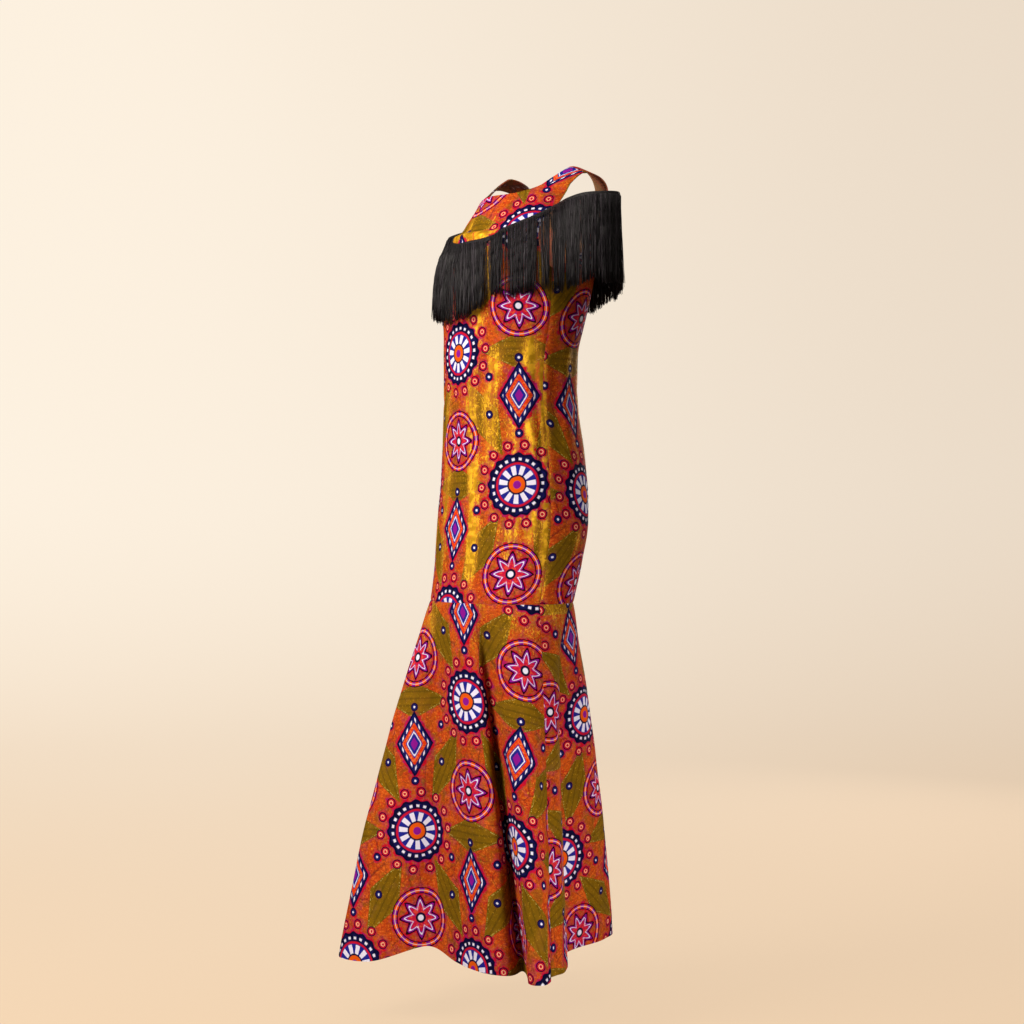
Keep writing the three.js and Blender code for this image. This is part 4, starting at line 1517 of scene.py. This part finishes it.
def drawn_strands(settings, length):
    """What is drawn by lot for every strand, as columns: its place on the header, the way to
    the middle of its tuft, its reach, tone (with painted light on tufts that stand out) and
    thickness, how it waves, turns, stands out and strays, and whether it parts. Strands that are
    missing at the partings are left out."""
    draw = np.random.default_rng(FRINGE_SEED)
    count = settings.strand_count
    place = (np.arange(count) + draw.uniform(-0.35, 0.35, count)) * length / count
    tuft_ends = np.cumsum(draw.uniform(*TUFT_WIDTH, int(length / 10)))
    tuft = np.searchsorted(tuft_ends, place)
    tuft_middle = (tuft_ends[tuft] + np.concatenate([[0], tuft_ends])[tuft]) / 2
    tuft_long = draw.uniform(-1, 1, len(tuft_ends) + 1)[tuft]
    tuft_out = draw.uniform(0, 1, len(tuft_ends) + 1)[tuft]
    broad = np.sin(place * math.tau / 97 + 1) + np.sin(place * math.tau / 41 + 2) * 0.6
    varied = tuft_long * TUFT_REACH + broad * BROAD_REACH + draw.normal(0, OWN_REACH, count)
    reach = 1 + varied / FRINGE_DEPTH - WORN_SHORT * draw.uniform(0, 1, count) ** 4
    reach -= SHORT_STRETCH["share"] * bell(place - SHORT_STRETCH["arc"], SHORT_STRETCH["width"])
    cord = draw.normal(0, CORD_TONE, int(length / CORD_WIDTH) + 2)
    cord = cord[(place / CORD_WIDTH + 1).astype(int)]
    # Random tone per strand and per cord, plus painted light: tufts that stand further out are
    # lighter.
    tone = draw.normal(MEAN_TONE, OWN_TONE, count) + cord + TUFT_LIT_TONE * tuft_out
    thick = settings.strand_radius / MM * draw.uniform(THINNEST, THICKEST, count)
    wave, phase = draw.uniform(0.3, 0.6, count), draw.uniform(0, math.tau, (2, count))
    layer = NEAREST_LAYER + np.arange(count) % STRAND_LAYERS * LAYER_STEP
    strands = {
        "place": place, "gather": tuft_middle - place, "reach": reach, "tone": np.clip(tone, 0, 1),
        "thick": thick, "wave": wave, "phase": phase[0], "spin": phase[1],
        "depth": layer + draw.uniform(-LAYER_SPREAD, LAYER_SPREAD, count) + tuft_out * TUFT_STANDS_OUT,
        "stray": draw.uniform(0, 1, count) ** 9 * MOST_STRAY,
        "parts": draw.uniform(0, 1, count) > UNPARTED,
    }
    kept = np.ones(count)
    for c in rows_of(PARTINGS):
        kept -= c["thin"] * bell(wrapped(place - c["arc"], length), c["width"])
    kept = draw.uniform(0, 1, count) < kept
    return {name: values[kept, None] for name, values in strands.items()}


def hung_lines(s, clumping, ring):
    """Centre lines of strands, with their level vectors along and out of the fringe, and how
    far down each point is. A strand drifts towards the middle of its own tuft and away from
    the partings, more the further down it is, and waves a little. It stays below its own top:
    its place along the header is moved, step by step, until it hangs there."""
    length = ring[0][-1]
    down = blend(STRAND_TOP, s["reach"], np.linspace(0, 1, STRAND_LEVELS)[None])
    fall = np.clip(down, 0, 1)
    shift = s["gather"] * clumping * fall
    for c in rows_of(PARTINGS):
        off = wrapped(s["place"] - c["arc"], length)
        spread = np.sign(off) * c["push"] * np.exp(-np.abs(off) / c["width"]) * s["parts"]
        shift += spread * np.clip((fall - c["from_down"]) / (1 - c["from_down"]), 0, 1) ** 0.7
    turns = math.tau * s["wave"] * fall + s["phase"]
    shift += WAVE * fall * (np.sin(turns) - np.sin(s["phase"]))
    side = 2 * wrapped(s["place"] / length, 1.0)
    bulge = ease(down, 0.0, 0.30) * ease(side, -0.50, -0.40) * ease(side, 0.06, -0.04)
    swung = 1 - (1 - fall) ** (1 + 0.6 * bulge)
    top = fringe_point(share_at(ring, s["place"]), down[:, :1])
    along_header = s["place"] + np.zeros_like(down)
    for _ in range(HANG_STEPS):
        hung, run, out = fringe_frame(share_at(ring, along_header), swung)
        faces = ease((out[..., :2] @ CHEST_FACES)[..., None], 0.35, 0.75)
        held = blend(run[..., :2], CHEST_ACROSS, faces)
        slip = ((hung - top)[..., :2] * held).sum(-1) / (run[..., :2] * held).sum(-1)
        along_header -= HANG_SHARE * slip
    at = share_at(ring, along_header + shift)
    points, run, out = fringe_frame(at, down)
    points[..., :2] = fringe_point(at, swung)[..., :2]
    swell = SWELL * np.sin(turns * 0.8 + s["spin"]) * fall
    away = s["depth"] + bell(down - STRAND_TOP, 0.05) + swell + s["stray"] * fall**3
    return points + out * away[..., None], run, out, down


def strand_tubes(strands, clumping, ring):
    """Strands as three-sided tubes that turn as they fall and thin at their ends: their
    points, sides, caps, and each point's distance down, share of the way round and tone."""
    middle, run, out, down = hung_lines(strands, clumping, ring)
    level = np.linspace(0, 1, STRAND_LEVELS)[None]
    radius = strands["thick"] * (1 - FOOT_THINS * level**8)
    share = np.arange(STRAND_SIDES) / STRAND_SIDES
    turn = ((strands["spin"] + TWIST * level)[..., None] + share * math.tau)[..., None]
    spoke = run[:, :, None] * np.cos(turn) + out[:, :, None] * np.sin(turn)
    solid = middle[:, :, None] + spoke * radius[..., None, None]
    number = numbered(solid.shape[:3])
    after = np.roll(number, -1, axis=2)
    sides = np.stack([number[:, :-1], number[:, 1:], after[:, 1:], after[:, :-1]], -1).reshape(-1, 4)
    caps = np.concatenate([number[:, 0], number[:, -1, ::-1]])
    own = (down * FRINGE_DEPTH)[..., None], share, strands["tone"][..., None]
    numbers = np.stack(np.broadcast_arrays(*own), -1)
    return solid.reshape(-1, 3), sides, caps, numbers.reshape(-1, 3)


FRINGE_PARTS = {"fringe_strands_left": (0.0, 0.5), "fringe_strands_right": (0.5, 1.0)}


def make_fringe(settings):
    """The strands in two pieces, left and right of centre, and the braid that heads them."""
    ring = ring_scale()
    length = ring[0][-1]
    strands = drawn_strands(settings, length)
    share = strands["place"][:, 0] / length
    for name, (first, last) in FRINGE_PARTS.items():
        chosen = (share >= first) & (share < last)
        own = {key: values[chosen] for key, values in strands.items()}
        solid, sides, caps, numbers = strand_tubes(own, settings.clumping, ring)
        piece = build_mesh(name, solid, sides, caps)
        store(piece, "strand", numbers)
        finish_piece(piece, "fringe", "black fringe")
    solid, faces, flat = header_tape(ring)
    tape = build_mesh("fringe_header_tape", solid, faces)
    store(tape, "cloth", flat)
    finish_piece(tape, "fringe_header", "black braid")


# ---- camera, lights and floor -------------------------------------------------------------

CAMERA_PLACE = (2.6046, -2.2655, -0.61)
CAMERA_AZIMUTH = 50.0
CAMERA_LENS, CAMERA_SENSOR, CAMERA_SHIFT = 66.34, 36.0, 6 / 1024
FLOOR_Z = -1.53
STAGE_RADIUS, STAGE_CURVE, STAGE_TOP = 4.6, 1.6, 4.2
MIDDLE = Vector((0.0, -0.05, -0.72))
# Each light: the turn it stands at, its height over the dress's middle, distance, width and
# length in metres, and its share of the key's power.
LIGHTS = {
    "key softbox": (-6, 1.1, 2.3, 1.2, 1.8, 1.0),
    "left softbox": (112, 0.0, 3.0, 1.2, 2.2, 0.17),
    "near fill": (92, -0.55, 2.6, 0.7, 0.5, 0.023),
    "far rim": (200, 0.9, 3.0, 1.4, 2.2, 0.48),
    "top softbox": (50, 2.5, 0.9, 2.0, 2.0, 0.30),
}
# The near fill is a narrow beam on the flounce: the height it aims at and its spread.
BEAMS = {"near fill": (-1.25, 34)}


def add_object(name, data):
    """A new object in the scene."""
    made = bpy.data.objects.new(name, data)
    bpy.context.scene.collection.objects.link(made)
    return made


def make_camera():
    """The camera, level and turned to the wearer's left."""
    camera = add_object("camera", bpy.data.cameras.new("camera"))
    camera.data.lens, camera.data.sensor_width = CAMERA_LENS, CAMERA_SENSOR
    camera.data.shift_x = CAMERA_SHIFT
    camera.location = CAMERA_PLACE
    camera.rotation_euler = (math.radians(90), 0, math.radians(CAMERA_AZIMUTH))
    bpy.context.scene.camera = camera


def make_lights(stage):
    """Softboxes that stand round the dress and face it, which no camera sees."""
    for name, (turn, height, away, wide, tall, share) in LIGHTS.items():
        aim, spread = BEAMS.get(name, (MIDDLE.z, 180))
        light = add_object(name, bpy.data.lights.new(name, "AREA"))
        light.data.shape = "RECTANGLE"
        light.data.size, light.data.size_y = wide, tall
        light.data.energy = stage.key_power * share
        light.data.color = tuple(stage.light_colour)
        light.data.spread = math.radians(spread)
        angle = math.radians(turn)
        out = Vector((math.sin(angle), -math.cos(angle), 0)) * away
        light.location = MIDDLE + out + Vector((0, 0, height))
        target = Vector((MIDDLE.x, MIDDLE.y, aim))
        light.rotation_euler = (target - light.location).to_track_quat("-Z", "Y").to_euler()
        light.visible_camera = False


def make_backdrop(stage):
    """A round cove: a disc, a quarter circle and a wall, turned about the upright axis."""
    bend = np.linspace(0, math.pi / 2, 13)[1:]
    flat = np.linspace(0, STAGE_RADIUS, 24)[1:]
    curved = STAGE_RADIUS + STAGE_CURVE * np.sin(bend)
    away = np.concatenate([flat, curved, [STAGE_RADIUS + STAGE_CURVE]])[:, None]
    rise = np.concatenate([0 * flat, STAGE_CURVE * (1 - np.cos(bend)), [STAGE_TOP - FLOOR_Z]])
    angle = np.linspace(0, math.tau, 97)[:-1]
    x, y = away * np.sin(angle), away * -np.cos(angle)
    points = np.stack([x, y, np.broadcast_to(FLOOR_Z + rise[:, None], x.shape)], -1)
    points = np.concatenate([points.reshape(-1, 3), [[0, 0, FLOOR_Z]]]) / MM
    number = closed_round(numbered(x.shape))
    fan = np.stack([number[0, :-1], number[0, 1:], np.full(len(angle), len(points) - 1)], -1)
    floor = build_mesh("studio_floor", points, grid_faces(number)[:, ::-1], fan[:, ::-1])
    floor.data.materials.append(backdrop_material(stage))


def backdrop_material(stage):
    """Paper whose colour carries painted light and shade: warmer and darker near the floor,
    paler up the wall and greyer to one side. The camera sees most of its colour as its own
    glow, so that it stays even, and the rest as light on matt paper."""
    tree, shader = new_material("studio paper")
    at = Wire(add_node(tree, "TexCoord", {}), "Object")
    x, y, z = at.split()
    # Painted shade: darker and warmer towards the floor, paler up the wall.
    rise = ((z - FLOOR_Z) / 2.4 + (x * -0.75 + y * 0.65) * 0.09).step(-0.5, 1.0)
    across = (x * 0.643 + y * 0.766) / 3.2
    cloud = at.noise(2.6, 1.0)
    colour = blended(rise + (cloud - 0.5) * 0.1, stage.shaded_low_paper, stage.lit_high_paper)
    # Painted shade: greyer towards one side of the paper.
    colour = painted(colour, (across.step(-0.8, 1.0) * 0.30, "b09070"))
    seen = Wire(add_node(tree, "LightPath", {}), "Is Camera Ray")
    finish(
        shader,
        Base_Color=blended(0.88, colour, "000000"),
        Roughness=0.85 + (cloud - 0.5) * 0.1,
        Specular_IOR_Level=0.1,
        Emission_Color=colour,
        Emission_Strength=0.03 + seen * 0.95,
    )
    return bpy.data.materials["studio paper"]


def make_world(stage):
    """Dim paper-coloured light from all round."""
    world = bpy.data.worlds.new("studio")
    world.use_nodes = True
    background = world.node_tree.nodes["Background"]
    plug(background.inputs["Color"], stage.lit_high_paper)
    plug(background.inputs["Strength"], stage.ambient)
    bpy.context.scene.world = world
    bpy.context.scene.view_settings.view_transform = "Standard"


# ---- the add-on ---------------------------------------------------------------------------


def colour_property(name, description, code):
    """A colour setting with a colour's code as its default."""
    return FloatVectorProperty(
        name=name, description=description, subtype="COLOR", size=3, min=0, max=1,
        default=linear(code),
    )


class DressCloth(bpy.types.PropertyGroup):
    """Colours and scale of the printed cotton."""

    ground: colour_property("Ground", "Rust orange behind the motifs", "ba4210")
    lozenge: colour_property("Lozenge", "Olive of the printed lozenges", "74560c")
    gold: colour_property("Gold", "Metallic grain on the ground and lozenges", "f2bc2c")
    halo: FloatProperty(
        name="Halo", description="Width of the red round each motif, mm", default=7.2, min=0, max=20
    )
    yarn_pitch: FloatProperty(
        name="Yarn pitch", description="Space between two yarns, mm", default=0.42, min=0.1, max=3
    )


class DressFringe(bpy.types.PropertyGroup):
    """Strands of the fringe."""

    strand: colour_property("Strand", "Black of the strands and braid", "0e0c10")
    strand_count: IntProperty(
        name="Strands", description="Number of strands all round", default=3700, min=100, max=3900
    )
    strand_radius: FloatProperty(
        name="Strand radius", description="Radius of one strand", default=0.00054,
        min=0.0002, max=0.003, unit="LENGTH",
    )
    clumping: FloatProperty(
        name="Clumping", description="How far strands gather into tufts, 0 to 1", default=0.07,
        min=0, max=1,
    )


class DressStage(bpy.types.PropertyGroup):
    """Studio light and paper."""

    key_power: FloatProperty(
        name="Key power", description="Power of the main softbox", default=85.0, min=0,
        unit="POWER",
    )
    ambient: FloatProperty(
        name="Ambient", description="Strength of the light from all round", default=0.10, min=0
    )
    light_colour: colour_property("Light", "Colour of the softboxes", "fff6ea")
    # The paper's two colours hold painted shade near the floor and painted light high on the wall.
    shaded_low_paper: colour_property("Low paper", "Paper colour near the floor", "e4c29a")
    lit_high_paper: colour_property("High paper", "Paper colour high on the wall", "fdf1e0")


class DRESS_OT_materials(bpy.types.Operator):
    """Make the printed cotton, the braid and the fringe's finish"""

    bl_idname = "dress.materials"
    bl_label = "Materials"

    def execute(self, context):
        weave = weave_group()
        cotton_material(context.scene.dress_cloth, weave)
        tape_material(context.scene.dress_fringe, weave)
        strand_material(context.scene.dress_fringe)
        return {"FINISHED"}


class DRESS_OT_sheath(bpy.types.Operator):
    """Make the front and back panels of the fitted body with their straps"""

    bl_idname = "dress.sheath"
    bl_label = "Sheath"

    def execute(self, context):
        make_sheath()
        return {"FINISHED"}


class DRESS_OT_flounce(bpy.types.Operator):
    """Make the front and back panels of the flared flounce"""

    bl_idname = "dress.flounce"
    bl_label = "Flounce"

    def execute(self, context):
        make_flounce()
        return {"FINISHED"}


class DRESS_OT_fringe(bpy.types.Operator):
    """Make the header braid and the strands that hang from it"""

    bl_idname = "dress.fringe"
    bl_label = "Fringe"

    def execute(self, context):
        make_fringe(context.scene.dress_fringe)
        return {"FINISHED"}


class DRESS_OT_stage(bpy.types.Operator):
    """Make the camera, the studio lights and the paper backdrop"""

    bl_idname = "dress.stage"
    bl_label = "Stage"

    def execute(self, context):
        stage = context.scene.dress_stage
        make_camera()
        make_lights(stage)
        make_backdrop(stage)
        make_world(stage)
        return {"FINISHED"}


OPERATORS = (
    DRESS_OT_materials,
    DRESS_OT_sheath,
    DRESS_OT_flounce,
    DRESS_OT_fringe,
    DRESS_OT_stage,
)
GROUPS = {"dress_cloth": DressCloth, "dress_fringe": DressFringe, "dress_stage": DressStage}


class DRESS_PT_panel(bpy.types.Panel):
    """Sizes, colours and steps of the dress"""

    bl_idname = "DRESS_PT_panel"
    bl_label = "Maxi dress"
    bl_space_type = "VIEW_3D"
    bl_region_type = "UI"
    bl_category = "Dress"

    def draw(self, context):
        for name, kind in GROUPS.items():
            box = self.layout.box()
            box.label(text=kind.__doc__)
            for key in kind.__annotations__:
                box.prop(getattr(context.scene, name), key)
        for operator in OPERATORS:
            self.layout.operator(operator.bl_idname)


def register():
    """Adds the settings, the steps and the panel to Blender."""
    for kind in (*GROUPS.values(), *OPERATORS, DRESS_PT_panel):
        bpy.utils.register_class(kind)
    for name, kind in GROUPS.items():
        setattr(bpy.types.Scene, name, PointerProperty(type=kind))


def unregister():
    """Takes them out again."""
    for name in GROUPS:
        delattr(bpy.types.Scene, name)
    for kind in (DRESS_PT_panel, *OPERATORS, *GROUPS.values()):
        bpy.utils.unregister_class(kind)


def main():
    register()
    for operator in OPERATORS:
        getattr(bpy.ops.dress, operator.bl_idname.split(".")[1])()


if __name__ == "__main__":
    main()
